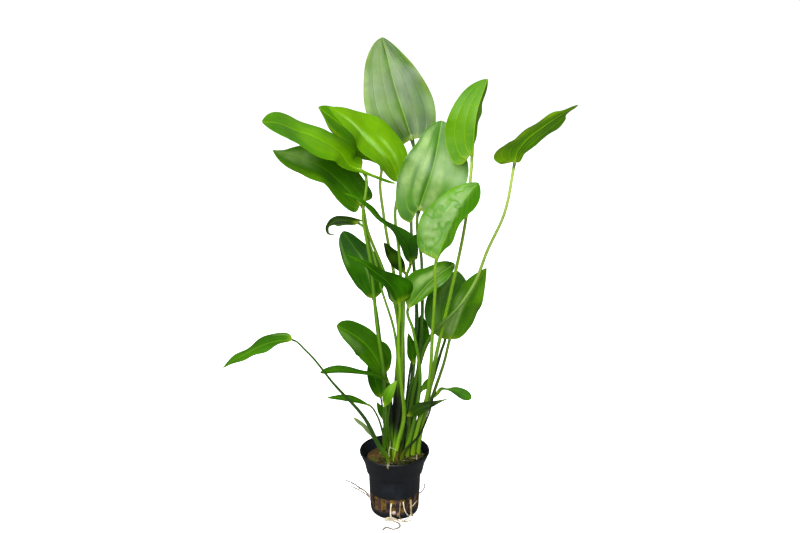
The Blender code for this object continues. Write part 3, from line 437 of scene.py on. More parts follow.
# Young basal leaves, from 1 to 11 as they are named
YOUNG_LEAVES = [
    young((-5, -12), [(-8, -19, 136)],
          [(-8, -30, 193), (-15, -33, 200), (-38, -39, 208), (-68, -45, 215), (-90, -50, 213)],
          28, (0, -0.15, 1), SPEAR,
          low=[(0, 0.9), (0.2, 0.7), (0.35, 0.35), (0.6, 0.6), (0.8, 0.9), (1, 2)],
          high=[(0, 1), (0.2, 0.6), (0.35, 0.45), (0.6, 0.75), (0.8, 1.2), (1, 2.4)]),
    young((-12, -13), [(-16, -16, 122), (-22, -16, 141)],
          [(-31, -17, 155), (-53, -20, 166), (-84, -24, 169)], 10, (0.2, -0.5, 0.9), STRAP),
    young((-17, -1), [(-20, -8, 93)], [(-27, -18, 111), (-38, -22, 129), (-52, -28, 144)],
          7, (0.5, -0.6, 0.6), STRAP, tone="pale"),
    young((-7, -18.5), [(-12, -34, 129)], [(-12, -40, 165), (-7, -42, 182), (3, -38, 198)],
          15, (-0.6, -0.9, 0.3), SPEAR, tone="fresh"),
    young((9, -25), [(32, -34, 124), (43, -40, 155)],
          [(52, -43, 184), (58, -44, 189), (66, -46, 190), (83, -51, 186), (94, -54, 181)],
          16, (-0.2, -0.8, 0.6), OVAL, thin=2.0, lobe=(0.0, 0.22), stem="night",
          low=[(0, 0.6), (0.12, 0.5), (0.3, 0.15), (0.5, 0.6), (0.75, 1.15), (1, 2)],
          high=[(0, 1), (0.12, 0.7), (0.3, 0.15), (0.5, 0.5), (0.75, 1.1), (1, 2)]),
    young((6, -19), [(15, -24, 125)],
          [(16, -28, 146), (33, -33, 159), (53, -36, 168), (75, -38, 177)], 15,
          (0.2, -0.8, 0.6), TAPER, tone="dark", stem="night"),
    young((17, 16), [(29, 26, 143)], [(32, 34, 210), (36, 36, 232), (34, 36, 257)],
          20, (-0.5, -1, 0.1), OVAL),
    young((9, -8), [(17, -12, 160)], [(24, -16, 211), (21, -18, 231), (17, -22, 254)],
          15, (0.6, -0.8, 0.2), SPEAR),
    young((1, 14), [(-13, 22, 110)], [(-18, 24, 148), (-25, 22, 173), (-30, 18, 208)],
          19, (0.2, -1, 0.3), OVAL),
    young((16, -4), [(30, -6, 130)], [(33, -6, 169), (40, -6, 179), (45, -8, 189)],
          8, (0, -1, 0.5), STRAP, thick=3.0, thin=2.0, tone="mid"),
    young((-14, 7), [(-15, 4, 103)], [(-14, 2, 126), (-18, 0, 142), (-22, -4, 154)],
          9, (-0.3, -0.9, 0.4), SPEAR, thick=3.0, thin=2.0),
]

# Patches on a blade: kind, place across, place along, reach across, reach along, strength
# Pale patches are painted sheen (young leaf 6's is its paler tip), dark ones painted shade
KINDS = ("pale", "dark", "gold")
LEAF_PATCHES = {
    1: [("pale", -0.45, 0.68, 0.34, 0.42, 0.45), ("pale", 0.2, 0.66, 0.24, 0.3, 0.3),
        ("dark", 0.75, 0.75, 0.2, 0.4, 0.25), ("dark", 0.28, 0.34, 0.12, 0.2, 0.5),
        ("dark", -0.3, 0.12, 0.16, 0.1, 0.4), ("gold", 0.95, 0.6, 0.1, 0.3, 0.6),
        ("pale", -0.2, 0.2, 0.1, 0.14, 0.5), ("pale", 0.3, 0.22, 0.1, 0.16, 0.6),
        ("gold", -0.95, 0.5, 0.12, 0.6, 0.7), ("gold", 0.9, 0.4, 0.1, 0.4, 0.4),
        ("dark", -0.07, 0.93, 0.06, 0.12, 0.7), ("dark", 0.42, 0.9, 0.13, 0.14, 0.6),
        ("dark", 0.1, 0.14, 0.07, 0.14, 0.5), ("dark", 0.6, 0.3, 0.12, 0.25, 0.35)],
    2: [("gold", -0.1, 0.3, 0.8, 0.3, 0.3), ("dark", -0.95, 0.08, 0.35, 0.18, 0.5),
        ("dark", 0.0, 1.0, 1.2, 0.35, 0.3)],
    3: [("pale", 0.1, 0.8, 0.5, 0.2, 0.7), ("gold", -0.85, 0.65, 0.2, 0.3, 0.7)],
    4: [("pale", -0.2, 0.66, 0.12, 0.2, 1.0), ("pale", -0.12, 0.45, 0.13, 0.16, 1.0),
        ("pale", 0.3, 0.3, 0.06, 0.15, 0.5), ("gold", 0.0, 0.5, 1.0, 0.5, 0.4)],
    5: [("pale", -0.62, 0.68, 0.22, 0.25, 0.9), ("pale", -0.3, 0.4, 0.14, 0.3, 1.0),
        ("pale", -0.72, 0.35, 0.18, 0.16, 0.9), ("pale", 0.22, 0.36, 0.17, 0.34, 0.8),
        ("pale", 0.45, 0.6, 0.16, 0.2, 0.5), ("pale", 0.72, 0.45, 0.16, 0.3, 0.4),
        ("dark", -0.08, 0.5, 0.05, 0.5, 0.35), ("dark", 0.0, 0.0, 1.0, 0.08, 0.4)],
    6: [("dark", 0.0, 1.0, 1.0, 0.05, 0.4)],
    7: [("pale", -0.45, 0.5, 0.42, 0.42, 0.85), ("pale", 0.12, 0.5, 0.1, 0.4, 0.5)],
    8: [("dark", -0.9, 0.55, 0.22, 0.3, 0.4), ("gold", 0.75, 0.5, 0.3, 0.5, 0.6),
        ("dark", 0.0, 0.1, 0.9, 0.12, 0.3)],
    9: [("pale", -0.15, 0.2, 0.24, 0.2, 1.0), ("pale", 0.07, 0.38, 0.09, 0.34, 1.0),
        ("pale", -0.5, 0.35, 0.26, 0.24, 0.8),
        ("dark", 0.33, 0.5, 0.12, 0.4, 0.35), ("gold", 0.75, 0.6, 0.2, 0.4, 0.3)],
    10: [("pale", -0.35, 0.5, 0.2, 0.4, 0.3)],
    11: [("gold", 0.0, 0.95, 1.0, 0.15, 0.3)],
    12: [("gold", -0.95, 0.4, 0.25, 0.4, 1.0), ("gold", 0.0, 0.95, 1.0, 0.2, 0.4)],
    13: [("pale", 0.06, 0.45, 0.07, 0.2, 0.7), ("pale", -0.8, 0.75, 0.1, 0.2, 0.4),
         ("dark", 0.45, 0.6, 0.35, 0.5, 0.3)],
    14: [("dark", 0.0, 0.5, 1.0, 0.26, 0.6), ("gold", 0.0, 0.97, 1.0, 0.14, 0.4),
         ("pale", -0.75, 0.12, 0.15, 0.12, 0.5)],
    15: [("pale", -0.38, 0.55, 0.22, 0.25, 0.85), ("pale", 0.45, 0.45, 0.25, 0.25, 0.6),
         ("dark", -0.08, 0.5, 0.05, 0.4, 0.4), ("dark", 0.0, 1.0, 1.0, 0.12, 0.7)],
    16: [("dark", 0.0, 1.0, 1.0, 0.3, 0.8), ("gold", 0.0, 0.5, 1.0, 0.16, 0.6)],
    17: [("pale", -0.55, 0.75, 0.3, 0.25, 0.4), ("dark", 0.45, 0.6, 0.35, 0.5, 0.3)],
    18: [("pale", 0.7, 0.12, 0.12, 0.12, 0.4), ("dark", 0.0, 1.0, 1.0, 0.06, 0.4)],
    19: [("gold", -0.8, 0.6, 0.12, 0.35, 0.7), ("dark", -0.35, 0.8, 0.2, 0.2, 0.3)],
}
YOUNG_PATCHES = {
    1: [("dark", 0.0, 0.1, 1.0, 0.25, 0.7), ("gold", 0.0, 0.8, 1.0, 0.3, 0.4)],
    4: [("gold", 0.0, 0.85, 1.0, 0.3, 0.8), ("dark", 0.0, 0.0, 1.0, 0.3, 0.5)],
    5: [("dark", 0.0, 0.1, 1.0, 0.35, 0.9), ("gold", -0.4, 0.5, 0.3, 0.2, 0.5),
        ("gold", 0.0, 0.9, 1.0, 0.2, 0.4)],
    6: [("pale", 0.0, 1.0, 1.0, 0.28, 1.0)],
}


# Meshes

def unit(vectors):
    return vectors / np.linalg.norm(vectors, axis=-1, keepdims=True)


def distances(path):
    """How far along the path each of its points is."""
    return np.r_[0, np.cumsum(np.linalg.norm(np.diff(path, axis=0), axis=1))]


def evenly(path, count):
    """The path again, as a count of points at equal distances."""
    along = distances(path)
    places = np.linspace(0, along[-1], count)
    return np.stack([np.interp(places, along, column) for column in path.T], 1)


def smooth_curve(points, count):
    """Points evenly spaced along a smooth curve through the given ones."""
    knots = np.asarray(points, float)
    ends = np.vstack([2 * knots[0] - knots[1], knots, 2 * knots[-1] - knots[-2]])
    t = np.linspace(0, 1, CURVE_STEPS, endpoint=False)[:, None]
    pieces = []
    for before, start, end, after in zip(ends, ends[1:], ends[2:], ends[3:]):
        run = [np.linalg.norm(b - a) for a, b in ((before, start), (start, end), (end, after))]
        leave = (start - before) / run[0] * run[1] + (end - start) / run[1] * run[0]
        arrive = (end - start) / run[1] * run[2] + (after - end) / run[2] * run[1]
        leave = leave * run[1] / (run[0] + run[1])
        arrive = arrive * run[1] / (run[1] + run[2])
        pieces.append(start * (2 * t**3 - 3 * t**2 + 1) + leave * (t**3 - 2 * t**2 + t)
                      + end * (3 * t**2 - 2 * t**3) + arrive * (t**3 - t**2))
    return evenly(np.vstack(pieces + [knots[-1:]]), count)


def perpendicular(direction):
    """A unit vector square to the direction, as level as it can be."""
    helper = np.array([0, 0, 1.0]) if abs(direction[2]) < 0.9 else np.array([0, -1.0, 0])
    return unit(np.cross(direction, helper))


def backward_turn(sides):
    """Angles once round, the way that leaves a ring's faces pointing outward."""
    return -2 * np.pi * np.arange(sides) / sides


def link(name, data):
    """A new object in the scene."""
    obj = bpy.data.objects.new(name, data)
    bpy.context.scene.collection.objects.link(obj)
    return obj


class Form:
    """Lofted strips that become one piece. Each point carries a mark for its material."""

    def __init__(self):
        self.places, self.marks, self.faces, self.kinds, self.tints = [], [], [], [], []
        self.total = 0

    def loft(self, rings, marks=None, kinds=0, capped=True, skip=None):
        """Closed rings of points, one row after another, joined by four-sided faces."""
        rings = np.asarray(rings, float)
        rows, columns = rings.shape[:2]
        index = self.total + np.arange(rows * columns).reshape(rows, columns)
        beside = np.roll(index, -1, axis=1)
        quads = np.stack([index[:-1], beside[:-1], beside[1:], index[1:]], -1)
        kinds = np.broadcast_to(kinds, quads.shape[:2])
        keep = np.ones(quads.shape[:2], bool) if skip is None else ~skip
        self.faces += quads[keep].tolist()
        self.kinds += kinds[keep].tolist()
        if capped:
            self.faces += [index[0, ::-1].tolist(), index[-1].tolist()]
            self.kinds += [int(kinds[0, 0]), int(kinds[-1, -1])]
        self.places.append(rings.reshape(-1, 3))
        marks = np.zeros(rings.shape) if marks is None else np.broadcast_to(marks, rings.shape)
        self.marks.append(marks.reshape(-1, 3))
        self.total += rows * columns

    def tint(self, values):
        """What the last strips' points carry for their material's patches."""
        self.tints.append(np.asarray(values, float).reshape(-1, 3))

    def tube(self, path, radii, sides):
        """A round tube along a path; the marks are the angle, the distance and the radius."""
        heading = unit(np.gradient(path, axis=0))
        across = perpendicular(heading[0])
        angles = 2 * np.pi * np.arange(sides) / sides
        rings, marks = [], []
        for place, ahead, radius, distance in zip(path, heading, radii, distances(path)):
            across = unit(across - (across @ ahead) * ahead)
            upward = np.cross(ahead, across)
            ring = (np.cos(angles) * radius)[:, None] * across
            rings.append(place + ring + (np.sin(angles) * radius)[:, None] * upward)
            marks.append(np.stack([angles / np.pi - 1, np.full(sides, distance),
                                   np.full(sides, radius)], 1))
        self.loft(rings, marks)

    def piece(self, name, materials, nodes=(), sharp=CRISP):
        """The finished object, riding on the part in place of the nodes."""
        mesh = bpy.data.meshes.new(name)
        mesh.from_pydata(np.vstack(self.places) * MM, [], self.faces)
        mesh.polygons.foreach_set("material_index", self.kinds)
        for attribute, rows in (("place", self.marks), ("tint", self.tints)):
            if rows:
                carried = mesh.attributes.new(attribute, "FLOAT_VECTOR", "POINT")
                carried.data.foreach_set("vector", np.vstack(rows).astype(np.float32).ravel())
        for material in materials:
            mesh.materials.append(material)
        mesh.shade_smooth()
        mesh.set_sharp_from_angle(angle=math.radians(sharp))
        obj = link(name, mesh)
        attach(obj, "root")
        if nodes:
            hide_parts(*nodes)
        return obj


# Leaves

class Blade:
    """A leaf surface: s runs from base to tip along the midrib, t from edge to edge."""

    def __init__(self, row, number):
        belly, full, self.tip_power, self.tip_full, lobe = row["outline"]
        self.row = row
        self.belly = row["belly"] or belly
        self.full = row["full"] or full
        self.lobes = row["lobe"] or (lobe, lobe)
        self.shares = [smooth_curve([(s, share, 0) for s, share in row[side]], SHARE_STEPS)
                       for side in ("low", "high")]
        self.half = row["width"] / 2
        self.neck = row["thin"] / 2 * NECK
        self.phase = LEAF_PHASE * number
        self.path = smooth_curve(row["spine"], MIDRIB_STEPS)
        self.along = distances(self.path)
        self.length = self.along[-1]
        self.tangent = unit(np.gradient(self.path, self.along, axis=0))
        face = np.asarray(row["face"], float)
        lean = (self.tangent @ face)[:, None] * self.tangent
        self.normal = unit(face - lean)
        self.side = np.cross(self.tangent, self.normal)

    def half_width(self, s, t):
        """How far the outline is from the midrib, on the side that t is on."""
        rise = np.clip((self.belly - s) / self.belly, 0, 1)
        fall = np.clip((s - self.belly) / (1 - self.belly), 0, 1)
        lower = (1 - rise**2) ** (1 / self.full)
        upper = (1 - fall**self.tip_power) ** (1 / self.tip_full)
        low, high = (np.interp(s, share[:, 0], share[:, 1]) for share in self.shares)
        width = self.half * np.where(s < self.belly, lower, upper) * np.where(t < 0, low, high)
        return np.maximum(width, self.neck * (1 - s) ** NECK_POWER + TIP)

    def relief(self, s, t):
        """How far the leaf stands off its plain surface."""
        row, phase = self.row, self.phase
        out = np.abs(t)
        along = s * self.length
        taper = np.clip(self.half_width(s, t) / self.half, 0, 1)
        # Pillows between the veins, crossed by rungs
        panel = out * PANELS % 1
        dome = 4 * panel * (1 - panel)
        bend = RUNG_SWAY * np.sin(3.0 * out + phase) + RUNG_SLANT * panel
        bend = along / RUNG_PITCH + bend + RUNG_WOBBLE * np.sin(along / RUNG_DRIFT)
        rung = np.cos(2 * np.pi * bend)
        pillows = row["quilt"] * dome * taper * (1 + row["rung"] * rung)
        # Waves at the edge, broad swells and an arched back
        side = phase + np.where(t < 0, 0.0, SIDE_PHASE)
        edge = row["wave"] * out**WAVE_POWER * np.sin(2 * np.pi * row["waves"] * s + side)
        long_swell = np.sin(along / LONG_SWELL + 2 * t + phase)
        short_swell = np.sin(along / SHORT_SWELL - 3 * t + 2 * phase)
        swell = row["swell"] * (long_swell + SHORT_SWELL_SHARE * short_swell)
        arch = -row["arch"] * t**2 * taper**2
        # Wrinkles that come and go
        crease = CREASE_SWAY * np.sin(4.1 * t + along / WRINKLE_DRIFT)
        crease = crease + CREASE_SLANT * out**CREASE_POWER
        pucker = np.sin(2 * np.pi * (along / WRINKLE_PITCH + crease))
        change = np.sin(along / WRINKLE_FADE + 3 * t + phase)
        pucker = pucker * (WRINKLE_LEAST + WRINKLE_CHANGE * change)
        middle = np.sin(np.pi * np.clip(1.1 * out, 0, 1)) ** WRINKLE_POWER
        wrinkles = row["wrinkle"] * pucker * middle
        relief = pillows + wrinkles + (edge + swell) * np.sin(np.pi * s) + arch
        return relief * np.clip(s / RELIEF_START, 0, 1)

    def points(self, s, t, lift):
        """Points at s and t, lifted off the plain surface, in millimetres."""
        swing = s / LOBE_PLACE * np.exp(1 - s / LOBE_PLACE)
        lobe = np.where(t < 0, self.lobes[0], self.lobes[1])
        back = lobe * self.length * swing * np.abs(t) ** LOBE_POWER
        reach = s * self.length - back
        place = np.clip(reach, 0, self.length)
        across = t * self.half_width(s, t) * (1 + self.row["skew"] * np.sign(t))
        rounded = np.sqrt(across**2 + FOLD_ROUND**2)
        low, high = np.radians(self.row["fold"])
        fold = np.where(t < 0, low, high)
        parts = []
        for axis in range(3):
            centre, tangent, side, normal = (
                np.interp(place, self.along, table[:, axis])
                for table in (self.path, self.tangent, self.side, self.normal))
            outward = normal * np.cos(fold) - across / rounded * side * np.sin(fold)
            parts.append(centre + tangent * (reach - place) + side * across * np.cos(fold)
                         + normal * (rounded - FOLD_ROUND) * np.sin(fold) + outward * lift)
        return np.stack(parts, -1)


def across_blade():
    """Places from edge to edge, closer together beside each main vein."""
    half = [(panel + share) / PANELS for panel in range(PANELS) for share in PANEL_SHARES]
    half = np.array(half + [1.0])
    return np.r_[-half[::-1], half[1:]]


# One ring round a leaf: over its upper face from edge to edge, then back under its lower face,
# as places across the blade and as the angles that they become on the stalk
TOP = across_blade()
RING = np.r_[TOP, TOP[-2:0:-1]]
UPWARD = np.r_[np.ones(len(TOP)), -np.ones(len(TOP) - 2)]
STEPS_ACROSS = len(TOP) - 1
TURN = np.r_[np.pi * (1 - np.arange(len(TOP)) / STEPS_ACROSS),
             -np.pi * np.arange(1, STEPS_ACROSS) / STEPS_ACROSS]


def blade_rings(blade, rows):
    """Rings round the blade from its base to its tip, with the midrib raised below."""
    u = np.linspace(0, 1, rows)
    s = ((1 - EASING) * u + EASING * (1 - np.cos(np.pi * u)) / 2)[:, None]
    t = RING[None, :]
    half = blade.half_width(s, t)
    rib = blade.row["thin"] / 2 * (1 - s) ** MIDRIB_POWER
    round_rib = np.sqrt(np.clip(rib**2 - (t * half) ** 2, 0, None))
    from_vein = np.abs((np.abs(t) * PANELS + 0.5) % 1 - 0.5) / PANELS * half
    side_rib = SIDE_RIB * np.exp(-(from_vein / SIDE_RIB_WIDTH) ** 2) * (1 - s) ** 0.5
    side_rib = side_rib * (np.abs(t) > SIDE_RIB_START)
    body = HALF_THICKNESS * (1 - np.abs(t) ** EDGE_POWER)
    base = np.clip(1 - s / BASE_SHARE, 0, 1)
    upper = body + round_rib * base - MIDRIB_ABOVE * round_rib * (1 - base)
    upper = upper - SIDE_RIB_ABOVE * side_rib
    lower = -body - round_rib * (base + (1 - base) * MIDRIB_BELOW) - side_rib
    lift = np.where(UPWARD > 0, upper, lower) * (np.abs(t) < 1)
    rings = blade.points(s + 0 * t, t + 0 * s, lift + blade.relief(s, t))
    marks = np.stack([t + 0 * s, s * blade.length + 0 * t, half + 0 * t], -1)
    return rings, marks


def stalk_rings(blade, rows):
    """Rings up the stalk, from a clasping foot to a round neck under the blade."""
    row = blade.row
    foot = np.array([*row["foot"], STALK_FOOT])
    lifted = foot + [0, 0, FOOT_LIFT]
    knots = [foot, lifted, *row["stalk"], row["spine"][0], blade.path[NECK_STEP]]
    route = smooth_curve(knots, ROUTE_STEPS)
    end = int(np.argmin(np.linalg.norm(route - blade.path[0], axis=1)))
    path = evenly(route[:end], rows + 1)[:-1]
    heading = unit(np.gradient(np.vstack([path, blade.path[:1]]), axis=0))[:-1]
    fraction = np.linspace(0, 1, rows)
    taper = (1 - fraction) ** STALK_TAPER
    radii = (row["thick"] * taper + row["thin"] * (1 - taper)) / 2
    along = distances(path)
    clasp = np.clip(1 - along / CLASP_HEIGHT, 0, 1) ** CLASP_POWER
    inward = np.array([CROWN_CENTRE[0] - foot[0], CROWN_CENTRE[1] - foot[1], 0.0])
    start_face = unit(inward + np.array([0, 0.01, 0]))
    rings, marks = [], []
    for index in range(rows):
        share = fraction[index] ** TWIST_POWER
        face = (1 - share) * start_face + share * blade.normal[0]
        across = unit(np.cross(heading[index], face))
        upward = np.cross(across, heading[index])
        ribs = STALK_RIB_DEPTH * np.cos(STALK_RIBS * TURN) * (1 - fraction[index])
        ribbed = radii[index] * (1 + ribs)
        wide = ribbed * (1 + CLASP_WIDE * clasp[index])
        deep = ribbed * (1 + CLASP_DEEP * clasp[index])
        ring = path[index] + (np.cos(TURN) * wide)[:, None] * across
        rings.append(ring + (np.sin(TURN) * deep)[:, None] * upward)
        marks.append(np.stack([TURN / np.pi, np.full(len(TURN), along[index]),
                               np.full(len(TURN), radii[index])], 1))
    return np.array(rings), np.array(marks)


def patch_tints(patches, marks):
    """How pale (mostly painted sheen), how dark (painted shade) and how golden each point is, from
    the patches.
    """
    length = marks[..., 1].max()
    t, s = marks[..., 0], marks[..., 1] / length
    tints = np.zeros(marks.shape)
    for kind, across, along, reach_across, reach_along, strength in patches:
        off = ((t - across) / reach_across) ** 4 + ((s - along) / reach_along) ** 4
        channel = KINDS.index(kind)
        tints[..., channel] = np.maximum(tints[..., channel], strength * np.exp(-off))
    return tints


def leaf_piece(name, row, number, nodes, materials, patches):
    """A whole leaf as one surface, from its foot on the crown to its tip."""
    blade = Blade(row, number)
    stem, stem_marks = stalk_rings(blade, STALK_ROWS)
    sheet, sheet_marks = blade_rings(blade, BLADE_ROWS)
    upper, under, stalk = range(3)
    faces = np.where(np.arange(len(RING)) < STEPS_ACROSS, upper, under)
    kinds = np.vstack([np.full((STALK_ROWS, len(RING)), stalk),
                       np.broadcast_to(faces, (BLADE_ROWS - 1, len(RING)))])
    form = Form()
    form.loft(np.vstack([stem, sheet]), np.vstack([stem_marks, sheet_marks]), kinds)
    form.tint(np.vstack([0 * stem_marks, patch_tints(patches, sheet_marks)]))
    return form.piece(name, materials, nodes)


# Pot, medium and crown

def turned(profile, angles):
    """Rings of points: each pair in the profile is a radius and a height."""
    circle = np.stack([np.cos(angles), np.sin(angles)], 1)
    rings = [np.c_[circle * radius, np.full(len(angles), height)] for radius, height in profile]
    return np.array(rings)


def pot_piece(material):
    """The pot's shell: its outside turned once, without slots and drains, then thickened."""
    shares = np.array([slot + share for slot in range(SLOT_COUNT) for share in SLOT_SHARES])
    angles = np.radians(SLOT_START + SLOT_PITCH * shares)
    rings = turned(POT_OUTSIDE, angles[::-1])
    heights, radii = rings[:, 0, 2], np.hypot(rings[:, 0, 0], rings[:, 0, 1])
    middle_height = (heights[1:] + heights[:-1]) / 2
    middle_radius = (radii[1:] + radii[:-1]) / 2
    backward = shares[::-1]
    between = (backward + np.roll(backward, -1)) / 2
    across = np.abs((between + 0.5) % 1 - 0.5)
    # The last strip joins the last bar to the first
    across[-1] = 0.5
    slot_row = (middle_height > SLOT_BOTTOM) & (middle_height < SLOT_TOP)
    drain_row = (heights[1:] == 0) & (heights[:-1] == 0)
    drain_row &= (middle_radius > DRAIN_REACH[0]) & (middle_radius < DRAIN_REACH[1])
    drained = np.round(between).astype(int) % SLOTS_PER_DRAIN == 0
    skip = slot_row[:, None] & (across < SLOT_EDGE)[None, :]
    skip |= drain_row[:, None] & (drained & (across < DRAIN_EDGE))[None, :]
    form = Form()
    form.loft(rings, capped=False, skip=skip)
    form.faces.append((form.total - len(angles) + np.arange(len(angles))).tolist())
    form.kinds.append(0)
    obj = form.piece("pot_shell", [material], ["pot"])
    wall = obj.modifiers.new("wall", "SOLIDIFY")
    wall.thickness = WALL * MM
    wall.offset = -1.0
    edges = obj.modifiers.new("edges", "BEVEL")
    edges.width = EDGE_ROUNDING * MM
    edges.segments = 2
    edges.limit_method = "ANGLE"
    edges.angle_limit = math.radians(CRISP)
    return obj


def rough(places, size, depth, seed):
    """Noise at each place: the size of its lumps in millimetres, and its depth."""
    shift = Vector((seed * 17.3, seed * 5.1, seed * 11.7))
    values = [noise.fractal(Vector(place) / size + shift, 0.7, 2.1, 4) for place in places]
    return depth * np.array(values)


def medium_piece(material):
    """The root plug, lumpy on top and fibrous where it fills the slots."""
    profile = np.asarray(MEDIUM_OUTSIDE, float)
    rings = turned(evenly(profile, MEDIUM_ROWS), backward_turn(MEDIUM_SIDES))
    flat = rings.reshape(-1, 3)
    outward = flat * [1, 1, 0]
    reach = np.linalg.norm(outward, axis=1, keepdims=True)
    top = np.clip((flat[:, 2:] - LUMPS_RISE) / LUMPS_BLEND, 0, 1)
    lumps = sum(rough(flat, *lump) for lump in MEDIUM_LUMPS)
    direction = outward / reach * (1 - top) * SIDE_LUMPS + np.array([0, 0, 1.0]) * top
    form = Form()
    form.loft((flat + direction * lumps[:, None]).reshape(rings.shape))
    return form.piece("root_plug", [material], ["growing_medium"],
                      CRISP_LUMPY)


def crown_piece(material):
    """The low knotty crown that the leaves stand on."""
    edge_shares, edge_drops = zip(*CROWN_EDGE)
    shares = np.r_[np.linspace(*CROWN_SHARES, CROWN_ROWS), edge_shares]
    drops = np.r_[np.zeros(CROWN_ROWS), edge_drops]
    angles = backward_turn(CROWN_SIDES)
    rings = np.array([
        np.c_[np.cos(angles) * CROWN_RADII[0] * share + CROWN_CENTRE[0],
              np.sin(angles) * CROWN_RADII[1] * share + CROWN_CENTRE[1],
              np.full(len(angles), CROWN_TOP - drop)]
        for share, drop in zip(shares, drops)])
    lumps = sum(rough(rings.reshape(-1, 3), *lump) for lump in CROWN_LUMPS)
    above = (drops < drops[-1])[:, None] * np.ones(len(angles))
    rings[..., 2] += lumps.reshape(above.shape) * above
    form = Form()
    form.loft(rings)
    return form.piece("crown_knot", [material], ["crown"], CRISP_LUMPY)


# Roots and litter

def wobbly(path, amount, seed):
    """The path with a small irregular wander, none at its start."""
    dice = random.Random(seed)
    fraction = np.linspace(0, 1, len(path))[:, None]
    shift = np.zeros_like(path)
    for waves in WANDER_WAVES:
        way = np.array([dice.uniform(-1, 1) for _ in range(3)])
        shift += way * np.sin(2 * np.pi * waves * fraction + dice.uniform(0, 6)) / waves
    moved = path + amount * shift * np.clip(fraction * 4, 0, 1)
    moved[:, 2] = np.maximum(moved[:, 2], FLOOR_CLEARANCE)
    return moved


def root_pieces(materials):
    """The seven roots outside the pot, each with small knobs along it."""
    for seed, (name, (diameter, route)) in enumerate(ROOTS.items()):
        look, tip = ROOT_LOOKS.get(name, PLAIN_ROOT)
        path = wobbly(smooth_curve(route, ROOT_STEPS), ROOT_WANDER, seed)
        radii = diameter / 2 * np.linspace(1.0, tip, ROOT_STEPS)
        knobs = np.sin(np.linspace(0, ROOT_KNOB_TURNS, ROOT_STEPS) + seed)
        radii = radii * (1 + ROOT_KNOBS * knobs)
        path[:, 2] = np.maximum(path[:, 2], radii)
        form = Form()
        form.tube(path, radii, ROOT_SIDES)
        form.piece(name + "_skin", [materials[look]], [name])


def strands(name, rows, material, first_seed):
    """Thin strands as one piece: each row is a diameter and the route's points."""
    form = Form()
    for seed, (diameter, route) in enumerate(rows, first_seed):
        path = wobbly(smooth_curve(route, STRAND_STEPS), STRAND_WANDER, seed)
        radii = diameter / 2 * np.linspace(1.0, STRAND_TIP, STRAND_STEPS)
        path[:, 2] = np.maximum(path[:, 2], radii)
        form.tube(path, radii, STRAND_SIDES)
    form.piece(name, [material])


def lump(form, centre, radii, seed):
    """A small rough clump: a ball of rings pushed in and out by noise."""
    rise = np.radians(np.linspace(-BALL_END, BALL_END, BALL_ROWS))[:, None]
    turn = backward_turn(BALL_SIDES)
    ball = np.stack([np.cos(rise) * np.cos(turn), np.cos(rise) * np.sin(turn),
                     np.sin(rise) + 0 * turn], -1)
    push = 1 + rough((ball * BALL_SCALE).reshape(-1, 3), *BALL_LUMPS, seed)
    form.loft(np.asarray(centre) + ball * push.reshape(*ball.shape[:2], 1) * np.asarray(radii))


def sheath(form, foot, top, radius, start, end):
    """A papery strip wrapped part of the way round a stalk's foot, narrower at its top."""
    turn = np.radians(np.linspace(start, end, SHEATH_STEPS))
    circle = np.stack([np.cos(turn), np.sin(turn), 0 * turn], 1)
    middle = circle.mean(0)
    rows = []
    for share in np.linspace(0, 1, SHEATH_ROWS):
        centre = (1 - share) * np.asarray(foot, float) + share * np.asarray(top, float)
        arc = middle + (circle - middle) * (1 - SHEATH_SHRINK * share**3)
        outer = centre + arc * (radius + SHEATH_OUTSIDE)
        inner = centre + arc[::-1] * (radius - SHEATH_INSIDE)
        rows.append(np.vstack([outer, inner]))
    form.loft(rows)


def dead_leaf_end(form):
    """The curled end of a dead leaf, which hangs over the rim."""
    path = smooth_curve(DEAD_END, STRAND_STEPS)
    along = np.linspace(0, 1, STRAND_STEPS)
    half = DEAD_END_HALF * (1 - DEAD_END_TAPER * along**2)
    half = half * (1 + DEAD_END_RIPPLE * np.sin(DEAD_END_RIPPLES * along))
    section = np.array(DEAD_END_SECTION)
    heading = unit(np.gradient(path, axis=0))
    across = unit(np.cross(heading, DEAD_END_FACE))
    outward = np.cross(across, heading)
    form.loft(path[:, None] + section[None, :, :1] * half[:, None, None] * across[:, None]
              + section[None, :, 1:] * outward[:, None])


def litter_pieces(moss, dry, roots):
    """What lies round the stalks' feet: clumps of moss, dead sheaths, hairs, a dead leaf end."""
    form = Form()
    for seed, (x, y, z, size) in enumerate(CLUMPS):
        lump(form, (x, y, z), (size, size, CLUMP_HEIGHT * size), seed)
    form.piece("moss_clumps", [moss], sharp=CRISP_LUMPY)
    form = Form()
    for row in SHEATHS:
        sheath(form, *row)
    form.piece("dead_sheaths", [dry])
    form = Form()
    dead_leaf_end(form)
    form.piece("dead_leaf_end", [dry], sharp=CRISP_LUMPY)
    for name, centre, radii, look in KNOTS:
        form = Form()
        lump(form, centre, radii, len(name))
        form.piece(name, [roots[look]], sharp=CRISP_LUMPY)
    for name, rows, look, first_seed in STRANDS:
        strands(name, rows, roots[look], first_seed)


# Materials

def rgb(red, green, blue):
    """A screen colour, 0 to 255, as linear light."""
    shares = [value / 255 for value in (red, green, blue)]
    linear = [s / 12.92 if s <= 0.04045 else ((s + 0.055) / 1.055) ** 2.4 for s in shares]
    return (*linear, 1.0)


